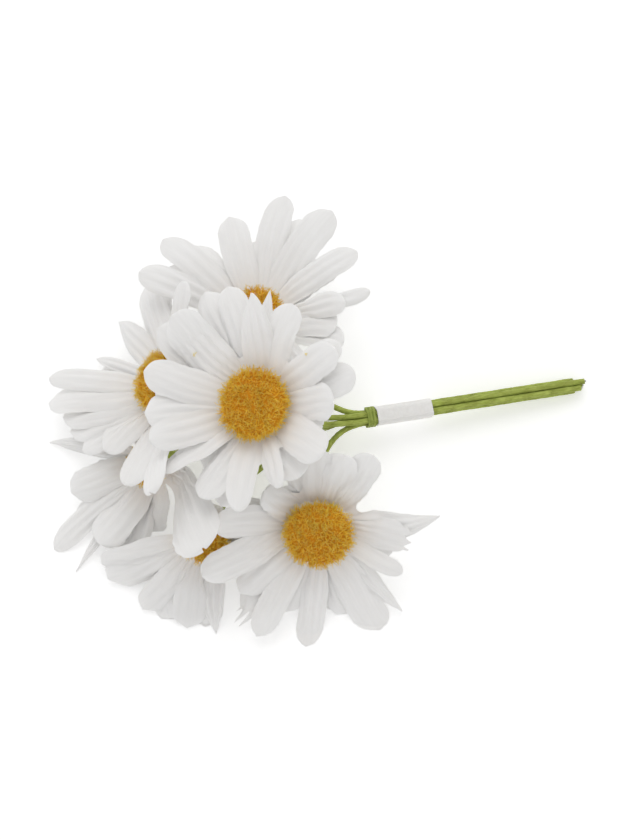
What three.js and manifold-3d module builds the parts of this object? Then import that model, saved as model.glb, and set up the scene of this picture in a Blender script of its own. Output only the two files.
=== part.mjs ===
// A bunch of six cloth daisies on paper-taped wire stems, lying on a surface.
// Each bloom is two layers of cut petals fused to a small hub, with a bristly eye on top.
// The stems run together under the blooms, are bound with green tape and carry a white paper band.
// Millimetres, +Z up, origin under the middle of the bunch.
import * as THREE from "three";
import Module from "manifold-3d";

const wasm = await Module();
wasm.setup();

// Driving dimensions
const PETAL_WIDTH = 7.2;
const PETAL_THICKNESS = 0.6;
const PETAL_ARCH = 0.1;
const PETAL_ROOT = 2.5;
const PETAL_GAP = 0.08;
const FREE_RADIUS = 11;
const FREE_SHARE = 0.45;
const MOST_LIFT = 52;
const UNDER_LEAN = 6;
const LAYER_DROP = 0.8;
const LAYER_LEAN = 12;
const HUB_SHARE = 0.9;
const HUB_TOP = 1.1;
const HUB_BOTTOM = -1.5;
const HUB_HOLE = 0.6;
const EYE_BASE = 1.4;
const EYE_FLARE = 0.28;
const EYE_DOME = 0.46;
const EYE_NECK = 0.7;
const EYE_SEGMENTS = 20;
const BRISTLE = 0.55;
const EYE_BORE = 0.6;
const EYE_BORE_DEPTH = 1.9;
const STEM_RADIUS = 0.65;
const STEM_BORE = 0.42;
const STEM_TOP = -1.8;
const CALYX_RADIUS = 1.9;
const CALYX_LENGTH = 6;
const WIRE_RADIUS = 0.25;
const WIRE_TOP = 2.7;
const STEM_PITCH = 1.38;
const BAND_LENGTH = 12.6;
const BAND_WALL = 0.3;
const BAND_CLEARANCE = 0.15;
const BINDING_LENGTH = 2;
const BINDING_WALL = 0.35;
const SLEEVE_GAP = 0.3;
const CLEAR = 1.5;
const FLOOR = 0;
const FLOOR_SNAP = 0.25;
const FUSE_TOLERANCE = 0.03;
const SHIFT = [-0.7, -3.9];

// The direction that the bunch was set out from: a slant, a distance and a scale of units to the millimetre
const SLANT = 80;
const DISTANCE = 340;
const UNITS = 4.78;
const MIDDLE = [315, 420];
const RAISE = 28;

// Colours
const WHITE = 0xf6f5f8;
const GOLD = 0xd69a2a;
const GREEN = 0x8aa23a;
const DARK_GREEN = 0x5f7a26;
const PAPER = 0xe2dfda;
const STEEL = 0x8f8f8c;

// Blooms: where the hub is, how far it leans and which way, and how its petals lie.
// A petal that shows has its tip at a spot, and a hidden one has its turn round the hub in degrees.
const centre = {
  name: "centre", spot: [259, 406], depth: 0, lean: 17, toward: 160, length: 24, eye: 7.4, cup: 22,
  slot: [-0.5, 2], reach: [9, 16], tail: -0.5, seed: 101,
  front: [
    { at: [333, 402], wide: 1.1 },
    { at: [335, 349] },
    { at: [292, 304] },
    { at: [251, 293], wide: 0.95, sharp: 0.6 },
    { at: [171, 316], wide: 1.25 },
    { at: [144, 371], wide: 1.05 },
    { at: [145, 413], wide: 1.05 },
    { at: [162, 470], wide: 0.85, twist: 50 },
    { at: [200, 497] },
    { at: [238, 511], wide: 0.8, twist: -52 },
    { at: [277, 488], wide: 0.72, twist: 38 },
    { at: [323, 453], wide: 1.15 },
  ],
  back: [
    { at: [355, 373] },
    { at: [339, 343], wide: 0.9 },
    { at: [270, 291], wide: 0.75, sharp: 0.9 },
    { at: [228, 287] },
    { at: [205, 292] },
    { at: [158, 328] },
    { turn: 172 },
    { at: [150, 440] },
    { turn: 230, long: 0.8 },
    { at: [221, 506] },
    { at: [298, 478] },
    { at: [318, 424], wide: 0.9 },
  ],
};

const lowerRight = {
  name: "lower_right", spot: [318, 527], depth: -11, lean: 22, toward: -88, length: 23.5, eye: 7.4, cup: 20,
  slot: [-0.5, 0], reach: [10, 13], tail: -1.4, seed: 138,
  front: [
    { at: [320, 452] },
    { at: [345, 456] },
    { at: [373, 456] },
    { at: [266, 490], wide: 0.9, twist: 40 },
    { at: [215, 523], wide: 1.1 },
    { at: [202, 575], wide: 1.15 },
    { at: [240, 593], wide: 0.9 },
    { at: [257, 636], wide: 0.85 },
    { at: [306, 644, -22], wide: 0.82, rest: true },
    { at: [379, 627, -21.5], wide: 1.15, rest: true },
    { at: [402, 573], wide: 0.64 },
    { at: [411, 541], wide: 1.1 },
    { at: [440, 516], wide: 1.15, sharp: 1, twist: -25, bow: 0.25 },
  ],
  back: [
    { at: [236, 624], wide: 1.3, sharp: 0.5 },
    { at: [286, 612], wide: 0.9 },
    { at: [329, 611], wide: 0.9 },
    { at: [402, 611], wide: 0.9, sharp: 0.9 },
    { at: [350, 614] },
    { at: [392, 552], wide: 0.9 },
    { turn: 110, long: 0.8 },
    { turn: 140, long: 0.5 },
    { turn: 165, long: 0.8 },
    { turn: -160, long: 0.8 },
  ],
};

const lowerLeft = {
  name: "lower_left", spot: [153, 463], depth: -17, lean: 38, toward: 213, length: 23.5, eye: 5, cup: 30,
  slot: [0, 1], reach: [9, 26], tail: 0.2, seed: 175,
  front: [
    { at: [70, 494, -19], wide: 1.05 },
    { at: [52, 551, -22], wide: 0.74 },
    { at: [95, 543, -16], wide: 1.2 },
    { at: [207, 560, -3], wide: 1.7 },
    { at: [200, 502], wide: 1.1 },
  ],
  back: [
    { at: [77, 572, -23], wide: 0.6, sharp: 1 },
    { at: [46, 447, -25], wide: 0.7, sharp: 0.9, bow: 0.15 },
    { at: [96, 480, -22] },
    { at: [74, 522, -22], wide: 0.8 },
    { at: [130, 560] },
    { at: [152, 530], wide: 1.2 },
    { turn: 100 },
    { turn: 130 },
  ],
};

const left = {
  name: "left", spot: [171, 385], depth: -14, lean: 48, toward: 158, length: 23.5, eye: 6.6, cup: 22,
  slot: [0.5, 2], reach: [12, 16], tail: 0.6, seed: 212,
  front: [
    { at: [45, 375, -20], wide: 0.72 },
    { at: [45, 399, -20], wide: 0.95 },
    { at: [68, 429, -20], wide: 1.05 },
    { at: [119, 322], wide: 0.95, sharp: 0.5 },
    { at: [146, 284], wide: 1.1 },
    { at: [150, 493], wide: 1.2 },
    { at: [127, 485], wide: 1.2 },
    { at: [104, 450], wide: 1.1 },
    { at: [81, 448, -17], wide: 0.8 },
    { turn: 60 },
    { turn: 30 },
    { turn: 0, long: 0.8 },
    { turn: -35, long: 0.7 },
    { turn: -70, long: 0.8 },
  ],
  back: [
    { at: [60, 414, -20] },
    { at: [97, 359], wide: 0.4, sharp: 0.8 },
    { at: [98, 377] },
    { at: [160, 290] },
    { turn: 75 },
    { turn: 45 },
    { turn: 15 },
    { turn: -20, long: 0.7 },
    { turn: -52, long: 0.7 },
    { turn: -85, long: 0.8 },
  ],
};

const top = {
  name: "top", spot: [257, 317], depth: -17, lean: 25, toward: 88, length: 24, eye: 5.6, cup: 22,
  slot: [1, 1], reach: [8, 10], tail: -1.7, seed: 249,
  front: [
    { at: [285, 196], wide: 0.87 },
    { at: [229, 217] },
    { at: [163, 239], wide: 0.95 },
    { at: [139, 272], wide: 0.95 },
    { at: [332, 211] },
    { at: [357, 251], wide: 0.8 },
    { at: [370, 291], wide: 0.48 },
    { at: [345, 302], wide: 0.85 },
    { at: [337, 322] },
    { turn: 205 },
    { turn: 240 },
    { turn: 275 },
    { turn: 305 },
  ],
  back: [
    { at: [255, 242] },
    { at: [300, 219], wide: 0.9 },
    { at: [194, 246], wide: 0.9 },
    { at: [168, 268], wide: 0.9 },
    { at: [335, 262] },
    { at: [344, 341] },
    { turn: 190 },
    { turn: 220 },
    { turn: 258 },
    { turn: 290 },
  ],
};

const bottom = {
  name: "bottom", spot: [206.5, 534.5], depth: -12.5, lean: 26, toward: -105, length: 20.5, eye: 5.2, cup: 12,
  slot: [0.5, 0], reach: [11, 18], tail: 0.5, seed: 286,
  front: [
    { at: [108, 579], wide: 1.15 },
    { at: [143, 609] },
    { at: [161, 619] },
    { at: [187, 628], wide: 1.05 },
    { at: [206, 627] },
    { at: [104, 562, -19] },
    { turn: 155, long: 0.8 },
    { turn: 115, long: 0.55 },
    { turn: -35 },
  ],
  back: [
    { at: [134, 573] },
    { at: [100, 571], wide: 0.8, sharp: 0.9 },
    { at: [152, 612] },
    { at: [176, 622] },
    { at: [216, 634], sharp: 0.9 },
    { turn: -50 },
    { turn: -5, long: 0.8 },
    { turn: 100, long: 0.6 },
    { turn: 145, long: 0.6 },
  ],
};

const BLOOMS = [centre, lowerRight, lowerLeft, left, top, bottom];

// Vectors as plain lists
const rad = (degrees) => (degrees * Math.PI) / 180;
const add = (a, b) => [a[0] + b[0], a[1] + b[1], a[2] + b[2]];
const sub = (a, b) => [a[0] - b[0], a[1] - b[1], a[2] - b[2]];
const mul = (a, k) => [a[0] * k, a[1] * k, a[2] * k];
const dot = (a, b) => a[0] * b[0] + a[1] * b[1] + a[2] * b[2];
const cross = (a, b) => [a[1] * b[2] - a[2] * b[1], a[2] * b[0] - a[0] * b[2], a[0] * b[1] - a[1] * b[0]];
const size = (a) => Math.sqrt(dot(a, a));
const unit = (a) => mul(a, 1 / size(a));
const mix = (...terms) => terms.reduce((sum, [v, k]) => add(sum, mul(v, k)), [0, 0, 0]);

function seeded(seed) {
  let state = seed * 7919;
  return () => {
    state = (state * 16807) % 2147483647;
    return (state / 2147483647) * 2 - 1;
  };
}

// From the slanted view to the bunch's own frame
const SLANT_SIN = Math.sin(rad(SLANT));
const SLANT_COS = Math.cos(rad(SLANT));

function turned(v) {
  return [v[0], v[1] * SLANT_SIN - v[2] * SLANT_COS, v[1] * SLANT_COS + v[2] * SLANT_SIN];
}

function place(x, y, depth) {
  const k = (DISTANCE - depth) / (UNITS * DISTANCE);
  const p = turned([(x - MIDDLE[0]) * k, (MIDDLE[1] - y) * k, depth]);
  return add(p, [0, 0, RAISE]);
}

function placeAtHeight(x, y, height) {
  const a = place(x, y, 0);
  const b = place(x, y, 1);
  return place(x, y, (height - a[2]) / (b[2] - a[2]));
}

// The bound run of the stems
const LOWEST_STEM = FLOOR + STEM_RADIUS;
const ROW = STEM_PITCH * Math.sqrt(0.75);
const ENTRY = place(376, 415.8, -21.5);
const TAIL = placeAtHeight(580.5, 384.2, LOWEST_STEM + ROW + 0.02);
const ALONG = unit(sub(TAIL, ENTRY));
const ACROSS = unit(cross([0, 0, 1], ALONG));
const OVER = cross(ALONG, ACROSS);
const RUN = size(sub(TAIL, ENTRY));

// A bloom's own axes: right, up and out
function frameOf(bloom) {
  const lean = rad(bloom.lean);
  const way = rad(bloom.toward);
  const out = turned([Math.sin(lean) * Math.cos(way), Math.sin(lean) * Math.sin(way), Math.cos(lean)]);
  const right = unit(sub([1, 0, 0], mul(out, out[0])));
  return { hub: place(...bloom.spot, bloom.depth), right, up: cross(out, right), out };
}

for (const bloom of BLOOMS) {
  bloom.frame = frameOf(bloom);
}

// Half the width of a petal along its length, from 0 at the root to 1 at the tip
function outline(t, sharp) {
  const rise = Math.min(1, t / 0.48);
  let f = 0.5 + 0.5 * rise * rise * (3 - 2 * rise);
  const start = 0.8 - 0.4 * sharp;
  if (t > start) {
    const q = (t - start) / (1 - start);
    f *= Math.max(0, 1 - q ** (2.4 - 1.1 * sharp)) ** (0.5 + 0.45 * sharp);
  }
  return f;
}

// The middle line of a petal as steps of radius and height over the hub's plane
const STEPS = 24;

function rise(petal, t) {
  return petal.lift * Math.min(1, Math.max(0, t - 0.08) / 0.2) + petal.curl * t * t;
}

function spine(petal) {
  const line = [[PETAL_ROOT, petal.drop]];
  const step = (petal.length - PETAL_ROOT) / STEPS;
  for (let i = 0; i < STEPS; i++) {
    const slope = rise(petal, (i + 0.5) / STEPS);
    const [r, h] = line[i];
    line.push([r + Math.cos(slope) * step, h + Math.sin(slope) * step]);
  }
  return line;
}

// Turns a petal round its hub and sets its length so that its tip meets its spot
function aim(bloom, petal) {
  const { hub, right, up, out } = bloom.frame;
  if (petal.at.length === 3) {
    const q = sub(place(...petal.at), hub);
    const r = Math.hypot(dot(q, up), dot(q, right)) - PETAL_ROOT;
    const h = dot(q, out) - petal.drop;
    petal.turn = Math.atan2(dot(q, up), dot(q, right));
    petal.lift = Math.min(rad(MOST_LIFT), Math.atan2(h, Math.max(0.5, r)) - petal.curl / 2);
    petal.length = PETAL_ROOT + Math.hypot(h, r) * 1.02;
    return;
  }
  const [x, y] = petal.at;
  const near = place(x, y, 0);
  const deep = sub(place(x, y, 1), near);
  for (let k = 0; k < 5; k++) {
    const [r, h] = spine(petal)[STEPS];
    const z = (h - dot(sub(near, hub), out)) / dot(deep, out);
    const q = sub(add(near, mul(deep, z)), hub);
    const want = Math.hypot(dot(q, up), dot(q, right));
    petal.turn = Math.atan2(dot(q, up), dot(q, right));
    petal.length = Math.min(Math.max(petal.length + want - r, bloom.length * 0.6), bloom.length * 1.3);
  }
}

// The middle surface of a petal at chosen steps along it and columns across it
function sheet(bloom, petal, rows, columns) {
  const { hub, right, up, out } = bloom.frame;
  const radial = mix([right, Math.cos(petal.turn)], [up, Math.sin(petal.turn)]);
  const aside = cross(out, radial);
  const line = spine(petal);
  const floor = FLOOR + PETAL_THICKNESS / 2;
  const grid = [];
  petal.low = Infinity;
  for (const i of rows) {
    const t = i / STEPS;
    const slope = rise(petal, t);
    const twist = petal.twist * t;
    const normal = mix([radial, -Math.sin(slope)], [out, Math.cos(slope)]);
    const side = mix([aside, Math.cos(twist)], [normal, Math.sin(twist)]);
    const face = mix([normal, Math.cos(twist)], [aside, -Math.sin(twist)]);
    const sway = petal.sway * petal.length * (t * t - t);
    const middle = add(hub, mix([radial, line[i][0]], [out, line[i][1]], [aside, sway]));
    const half = (petal.width / 2) * outline(Math.min(t, 0.985), petal.sharp);
    const row = [];
    const radius = line[i][0];
    const spare = Math.max(0, radius - FREE_RADIUS) * FREE_SHARE - PETAL_GAP;
    const share = [petal.before, petal.after].map((gap) => radius * Math.tan(Math.min(gap, 1.2) / 2) + spare);
    for (let j = 0; j <= columns; j++) {
      const v = -1 + (2 * j) / columns;
      const arch = PETAL_ARCH * petal.width * v * v * Math.min(1, t * 2);
      const reach = v * Math.min(half, Math.max(0.5, v < 0 ? share[0] : share[1]));
      const p = add(middle, mix([side, reach], [face, -arch]));
      petal.low = Math.min(petal.low, p[2]);
      p[2] = Math.max(p[2], floor);
      row.push(p);
    }
    grid.push(row);
  }
  return grid;
}

// The petals of a bloom as they would lie with nothing beside them
function petalsOf(bloom) {
  const draw = seeded(bloom.seed);
  const petals = [];
  [bloom.front, bloom.back].forEach((rows, layer) => {
    rows.forEach((row, i) => {
      const j = [draw(), draw(), draw(), draw(), draw(), draw(), draw()];
      const petal = {
        bloom, layer,
        at: row.at,
        rest: row.rest,
        turn: rad(row.turn ?? 0) + rad(5) * j[0],
        length: bloom.length * (1 + 0.05 * j[1]) * (row.long ?? 1),
        width: PETAL_WIDTH * (1 + 0.06 * j[2]) * (row.wide ?? 1),
        lift: rad(bloom.cup - LAYER_LEAN * layer) + rad(i % 2 ? 2 : -2) + rad(2.5) * j[3],
        curl: rad(-20) + rad(6) * j[4],
        twist: row.twist === undefined ? rad(14) * j[5] : rad(row.twist),
        sway: row.bow ?? 0.14 * j[6],
        sharp: row.sharp ?? 0.1 + 0.1 * j[0],
        drop: -LAYER_DROP * layer + (i % 2 ? 0.1 : -0.1),
      };
      if (petal.at) {
        aim(bloom, petal);
      }
      petals.push(petal);
    });
  });
  for (const petal of petals) {
    petal.before = Math.PI;
    petal.after = Math.PI;
    for (const other of petals) {
      if (other !== petal && other.layer === petal.layer) {
        const apart = (other.turn - petal.turn + 4 * Math.PI) % (2 * Math.PI);
        petal.after = Math.min(petal.after, apart);
        petal.before = Math.min(petal.before, 2 * Math.PI - apart);
      }
    }
  }
  return petals;
}

// Points that stand for an eye and its hub when petals of other blooms are laid past them
function eyePoints(bloom) {
  const { hub, right, up, out } = bloom.frame;
  const R = bloom.eye;
  const points = [];
  const side = [[R, 1.2, 14], [R, 3, 14], [R * 0.8, 4.6, 12]];
  const rings = [...side, [R * 0.45, 5.6, 8], [0, 6.2, 1], [4.6, -0.8, 12]];
  for (const [r, h, count] of rings) {
    for (let k = 0; k < count; k++) {
      const f = (2 * Math.PI * k) / count;
      points.push(add(hub, mix([right, r * Math.cos(f)], [up, r * Math.sin(f)], [out, h])));
    }
  }
  return points;
}

// The route of a stem: from its hub down and round to its place in the bound run
function stemRoute(bloom, count) {
  const { hub, out } = bloom.frame;
  const [a, b] = bloom.slot;
  const offset = mix([ACROSS, (a - 0.25) * STEM_PITCH], [OVER, (b - 1) * ROW]);
  const start = add(hub, mul(out, STEM_TOP));
  const end = add(add(ENTRY, mul(ALONG, -BINDING_LENGTH - 0.6)), offset);
  const p1 = add(start, mul(out, -bloom.reach[0]));
  const p2 = add(end, mul(ALONG, -bloom.reach[1]));
  const route = [];
  for (let i = 0; i <= count; i++) {
    const t = i / count;
    const u = 1 - t;
    route.push(mix([start, u * u * u], [p1, 3 * u * u * t], [p2, 3 * u * t * t], [end, t * t * t]));
  }
  return { route, offset };
}

function stemPoints(bloom) {
  const { route, offset } = stemRoute(bloom, 60);
  for (let k = 1; k <= 40; k++) {
    route.push(add(add(ENTRY, offset), mul(ALONG, (k / 40) * RUN)));
  }
  return route;
}

// Lays the petals one by one, the ones that show first, each bent up or down until it is clear of the rest
function boxOf(points) {
  const low = [Infinity, Infinity, Infinity];
  const high = [-Infinity, -Infinity, -Infinity];
  for (const p of points) {
    for (let k = 0; k < 3; k++) {
      low[k] = Math.min(low[k], p[k]);
      high[k] = Math.max(high[k], p[k]);
    }
  }
  return { low, high };
}

function roomBetween(points, box, other, enough) {
  for (let k = 0; k < 3; k++) {
    if (other.box.low[k] > box.high[k] + 3 || other.box.high[k] < box.low[k] - 3) {
      return Infinity;
    }
  }
  let best = Infinity;
  for (const q of other.points) {
    for (const p of points) {
      const gap = Math.hypot(p[0] - q[0], p[1] - q[1], p[2] - q[2]);
      if (gap < best) {
        best = gap;
        if (best < enough) {
          return best;
        }
      }
    }
  }
  return best;
}

const PROBE_ROWS = [4, 6, 8, 10, 12, 14, 16, 18, 20, 22, 24];

function bends() {
  const list = [[0, 1]];
  for (let k = 1; k < 10; k++) {
    list.push([-6 * k, 1], [6 * k, 1]);
  }
  for (const shorter of [0.8, 0.62]) {
    for (let k = 0; k < 8; k++) {
      list.push([-8 * k, shorter], [8 * k, shorter]);
    }
  }
  return list;
}

function layPetals() {
  const held = [];
  for (const bloom of BLOOMS) {
    const eye = eyePoints(bloom);
    const stem = stemPoints(bloom);
    held.push({ bloom, points: eye, box: boxOf(eye), clear: CLEAR });
    held.push({ bloom, points: stem, box: boxOf(stem), clear: CLEAR + STEM_RADIUS - 0.2 });
  }
  const petals = BLOOMS.flatMap(petalsOf);
  const order = petals.map((petal, index) => ({ petal, index }));
  const rank = ({ petal, index }) => (petal.at ? 0 : 1000) + petal.layer * 500 + index;
  order.sort((a, b) => rank(a) - rank(b));
  for (const { petal } of order) {
    const { bloom, lift, length } = petal;
    const most = rad(petal.at || petal.layer === 0 ? MOST_LIFT : bloom.cup - UNDER_LEAN);
    let best = null;
    for (const [bend, shorter] of bends()) {
      petal.lift = Math.min(most, lift + rad(bend));
      petal.length = length * shorter;
      if (petal.at && petal.at.length === 2 && shorter === 1) {
        aim(bloom, petal);
      }
      const points = sheet(bloom, petal, PROBE_ROWS, 4).flat();
      const box = boxOf(points);
      let room = petal.rest ? Infinity : petal.low + 1.2;
      for (const other of held) {
        if (other.bloom !== bloom && room > -1.4) {
          room = Math.min(room, roomBetween(points, box, other, other.clear - 1.4) - other.clear);
        }
      }
      if (!best || room > best.room) {
        best = { room, lift: petal.lift, length: petal.length, turn: petal.turn };
      }
      if (room >= 0) {
        break;
      }
    }
    petal.lift = best.lift;
    petal.length = best.length;
    petal.turn = best.turn;
    const points = sheet(bloom, petal, PROBE_ROWS, 4).flat();
    held.push({ bloom, points, box: boxOf(points), clear: CLEAR });
  }
  return petals;
}

// Solids
function solidOf(positions, triangles) {
  const mesh = new wasm.Mesh({
    numProp: 3,
    vertProperties: Float32Array.from(positions.flat()),
    triVerts: Uint32Array.from(triangles.flat()),
  });
  return new wasm.Manifold(mesh);
}

function outward(positions, triangles) {
  let volume = 0;
  for (const [a, b, c] of triangles) {
    volume += dot(positions[a], cross(positions[b], positions[c]));
  }
  return volume < 0 ? triangles.map(([a, b, c]) => [a, c, b]) : triangles;
}

function geometryOf(positions, triangles) {
  const geometry = new THREE.BufferGeometry();
  geometry.setAttribute("position", new THREE.Float32BufferAttribute(positions.flat(), 3));
  geometry.setIndex(outward(positions, triangles).flat());
  geometry.computeVertexNormals();
  return geometry;
}

function geometryFromSolid(solid) {
  const mesh = solid.getMesh();
  const geometry = new THREE.BufferGeometry();
  const points = [];
  for (let i = 0; i < mesh.vertProperties.length; i += mesh.numProp) {
    points.push(mesh.vertProperties[i], mesh.vertProperties[i + 1], mesh.vertProperties[i + 2]);
  }
  geometry.setAttribute("position", new THREE.Float32BufferAttribute(points, 3));
  geometry.setIndex(Array.from(mesh.triVerts));
  geometry.computeVertexNormals();
  return geometry;
}

// A closed skin over rings of points, each with the same count, its ends closed on a point or joined up
function skin(rings, joined, crossed = () => false) {
  const count = rings[0].length;
  const positions = rings.flat();
  const triangles = [];
  const last = joined ? rings.length : rings.length - 1;
  for (let i = 0; i < last; i++) {
    const n = (i + 1) % rings.length;
    for (let k = 0; k < count; k++) {
      const m = (k + 1) % count;
      const a = i * count + k;
      const b = i * count + m;
      const c = n * count + m;
      const d = n * count + k;
      if (crossed(i, k)) {
        triangles.push([a, b, d], [b, c, d]);
      } else {
        triangles.push([a, b, c], [a, c, d]);
      }
    }
  }
  if (!joined) {
    const first = positions.push(centreOf(rings[0])) - 1;
    const end = positions.push(centreOf(rings[rings.length - 1])) - 1;
    const base = (rings.length - 1) * count;
    for (let k = 0; k < count; k++) {
      const m = (k + 1) % count;
      triangles.push([first, m, k], [end, base + k, base + m]);
    }
  }
  return { positions, triangles: outward(positions, triangles) };
}

function centreOf(points) {
  return mul(points.reduce(add, [0, 0, 0]), 1 / points.length);
}

const FRONT_ROWS = [0, 7, 14, 20, 24];
const BACK_ROWS = [0, 9, 18, 24];

// A petal is its middle surface thickened, split into the same triangles on both faces
function petalSolid(petal) {
  const grid = sheet(petal.bloom, petal, petal.layer ? BACK_ROWS : FRONT_ROWS, petal.layer ? 1 : 2);
  const rows = grid.length;
  const columns = grid[0].length;
  const upper = [];
  const lower = [];
  for (let i = 0; i < rows; i++) {
    for (let j = 0; j < columns; j++) {
      const along = sub(grid[Math.min(i + 1, rows - 1)][j], grid[Math.max(i - 1, 0)][j]);
      const over = sub(grid[i][Math.min(j + 1, columns - 1)], grid[i][Math.max(j - 1, 0)]);
      const normal = unit(cross(along, over));
      const a = add(grid[i][j], mul(normal, PETAL_THICKNESS / 2));
      const b = add(grid[i][j], mul(normal, -PETAL_THICKNESS / 2));
      const under = a[2] < b[2] ? a : b;
      const above = a[2] < b[2] ? b : a;
      if (under[2] < FLOOR + FLOOR_SNAP) {
        under[2] = FLOOR;
        above[2] = Math.max(above[2], FLOOR + PETAL_THICKNESS);
      }
      upper.push(a);
      lower.push(b);
    }
  }
  const count = rows * columns;
  const triangles = [];
  for (let i = 0; i < rows - 1; i++) {
    for (let j = 0; j < columns - 1; j++) {
      const a = i * columns + j;
      const b = a + columns;
      const rising = [[a, b, b + 1], [a, b + 1, a + 1]];
      const falling = [[a, b, a + 1], [b, b + 1, a + 1]];
      const split = j < columns / 2 - 0.5 ? rising : falling;
      for (const [p, q, r] of split) {
        triangles.push([p, q, r], [p + count, r + count, q + count]);
      }
    }
  }
  const rim = [];
  for (let j = 0; j < columns; j++) {
    rim.push(j);
  }
  for (let i = 1; i < rows; i++) {
    rim.push(i * columns + columns - 1);
  }
  for (let j = columns - 2; j >= 0; j--) {
    rim.push((rows - 1) * columns + j);
  }
  for (let i = rows - 2; i > 0; i--) {
    rim.push(i * columns);
  }
  rim.forEach((a, k) => {
    const b = rim[(k + 1) % rim.length];
    triangles.push([a, b, b + count], [a, b + count, a + count]);
  });
  const positions = upper.concat(lower);
  return solidOf(positions, outward(positions, triangles));
}

// Rings of points round a bloom's own axis
function ringRound(frame, radius, height, count) {
  const { hub, right, up, out } = frame;
  const ring = [];
  for (let k = 0; k < count; k++) {
    const f = (2 * Math.PI * k) / count;
    ring.push(add(hub, mix([right, radius * Math.cos(f)], [up, radius * Math.sin(f)], [out, height])));
  }
  return ring;
}

function drum(frame, radius, low, high, count) {
  const rings = [ringRound(frame, radius, low, count), ringRound(frame, radius, high, count)];
  const { positions, triangles } = skin(rings);
  return solidOf(positions, triangles);
}

// The one body of a fused solid, with the small hollows that fusing seals filled
function largest(solid) {
  return solid.decompose().reduce((a, b) => (b.volume() > a.volume() ? b : a));
}

function whole(solid) {
  return largest(largest(solid).simplify(FUSE_TOLERANCE));
}

function bloomSolid(bloom, petals) {
  const rim = bloom.eye * HUB_SHARE;
  let solid = drum(bloom.frame, rim, HUB_BOTTOM, HUB_TOP, 12);
  for (const petal of petals) {
    solid = solid.add(petalSolid(petal));
  }
  return whole(solid.subtract(drum(bloom.frame, HUB_HOLE, HUB_BOTTOM - 1, HUB_TOP + 1, 8)));
}

// The eye: a low neck that flares to the rim and a dome whose points stand up and down by turns, as bristles
function eyeSolid(bloom) {
  const { frame, eye } = bloom;
  const { hub, right, up, out } = frame;
  const rim = EYE_BASE + EYE_FLARE * eye;
  const rings = [ringRound(frame, eye * EYE_NECK, EYE_BASE, EYE_SEGMENTS)];
  const levels = [0, 22, 44, 66];
  levels.forEach((level, i) => {
    const r = eye * Math.cos(rad(level)) ** 0.8;
    const h = rim + EYE_DOME * eye * Math.sin(rad(level));
    const ring = [];
    for (let k = 0; k < EYE_SEGMENTS; k++) {
      const f = (2 * Math.PI * k) / EYE_SEGMENTS;
      const stand = ((k + i) % 2 ? 1 : -1) * (i ? BRISTLE : BRISTLE * 0.5) * (i === 3 ? 0.7 : 1);
      const rr = r + stand * Math.cos(rad(level));
      const hh = h + stand * Math.sin(rad(level));
      ring.push(add(hub, mix([right, rr * Math.cos(f)], [up, rr * Math.sin(f)], [out, hh])));
    }
    rings.push(ring);
  });
  const { positions, triangles } = skin(rings, false, (i, k) => (k + i - 1) % 2 !== 0);
  const dome = solidOf(positions, triangles);
  return dome.subtract(drum(frame, EYE_BORE, EYE_BASE - 1, EYE_BASE + EYE_BORE_DEPTH, 8));
}

// Rings of points along a route, carried round its bends without twisting
function ringsAlong(route, radii, count) {
  const rings = [];
  let side = null;
  route.forEach((p, i) => {
    const ahead = unit(sub(route[Math.min(i + 1, route.length - 1)], route[Math.max(i - 1, 0)]));
    side = side ?? cross(ahead, [0.31, 0.22, 0.92]);
    side = unit(sub(side, mul(ahead, dot(side, ahead))));
    const other = cross(ahead, side);
    const ring = [];
    for (let k = 0; k < count; k++) {
      const f = (2 * Math.PI * k) / count;
      ring.push(add(p, mix([side, radii[i] * Math.cos(f)], [other, radii[i] * Math.sin(f)])));
    }
    rings.push(ring);
  });
  return rings;
}

const STEM_SIDES = 6;
const STEM_STATIONS = [0, 0.035, 0.09, 0.17, 0.27, 0.38, 0.5, 0.62, 0.74, 0.86, 1];

function fullRoute(bloom) {
  const { offset } = stemRoute(bloom, 1);
  const fine = stemRoute(bloom, 200).route;
  const route = STEM_STATIONS.map((t) => fine[Math.round(t * 200)]);
  route.push(add(add(ENTRY, offset), mul(ALONG, RUN + bloom.tail)));
  return route;
}

function stemGeometry(bloom) {
  const route = fullRoute(bloom);
  const start = route[0];
  const outer = route.map((p) => {
    const near = Math.max(0, 1 - size(sub(p, start)) / CALYX_LENGTH);
    return STEM_RADIUS + (CALYX_RADIUS - STEM_RADIUS) * near * near;
  });
  const inner = route.map(() => STEM_BORE);
  const rings = ringsAlong(route, outer, STEM_SIDES).concat(ringsAlong(route, inner, STEM_SIDES).reverse());
  const { positions, triangles } = skin(rings, true);
  return geometryOf(positions, triangles);
}

function wireGeometry(bloom) {
  const { hub, out } = bloom.frame;
  const route = fullRoute(bloom);
  route.unshift(add(hub, mul(out, WIRE_TOP)));
  route[route.length - 1] = add(route[route.length - 1], mul(ALONG, 0.4));
  const { positions, triangles } = skin(ringsAlong(route, route.map(() => WIRE_RADIUS), STEM_SIDES));
  return geometryOf(positions, triangles);
}

// A sleeve drawn tight round the stems
function sleeveRing(distance, grow, count) {
  const ring = [];
  const spots = BLOOMS.map((bloom) => stemRoute(bloom, 1).offset);
  for (let k = 0; k < count; k++) {
    const f = (2 * Math.PI * k) / count;
    const way = mix([ACROSS, Math.cos(f)], [OVER, Math.sin(f)]);
    const far = spots.reduce((a, b) => (dot(b, way) > dot(a, way) + 1e-9 ? b : a));
    ring.push(add(add(ENTRY, mul(ALONG, distance)), add(far, mul(way, grow))));
  }
  return ring;
}

function sleeveGeometry(from, to, wall, count) {
  const hole = STEM_RADIUS + BAND_CLEARANCE;
  const rings = [
    sleeveRing(from, hole + wall, count),
    sleeveRing(to, hole + wall, count),
    sleeveRing(to, hole, count),
    sleeveRing(from, hole, count),
  ];
  const { positions, triangles } = skin(rings, true);
  return geometryOf(positions, triangles);
}

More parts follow.
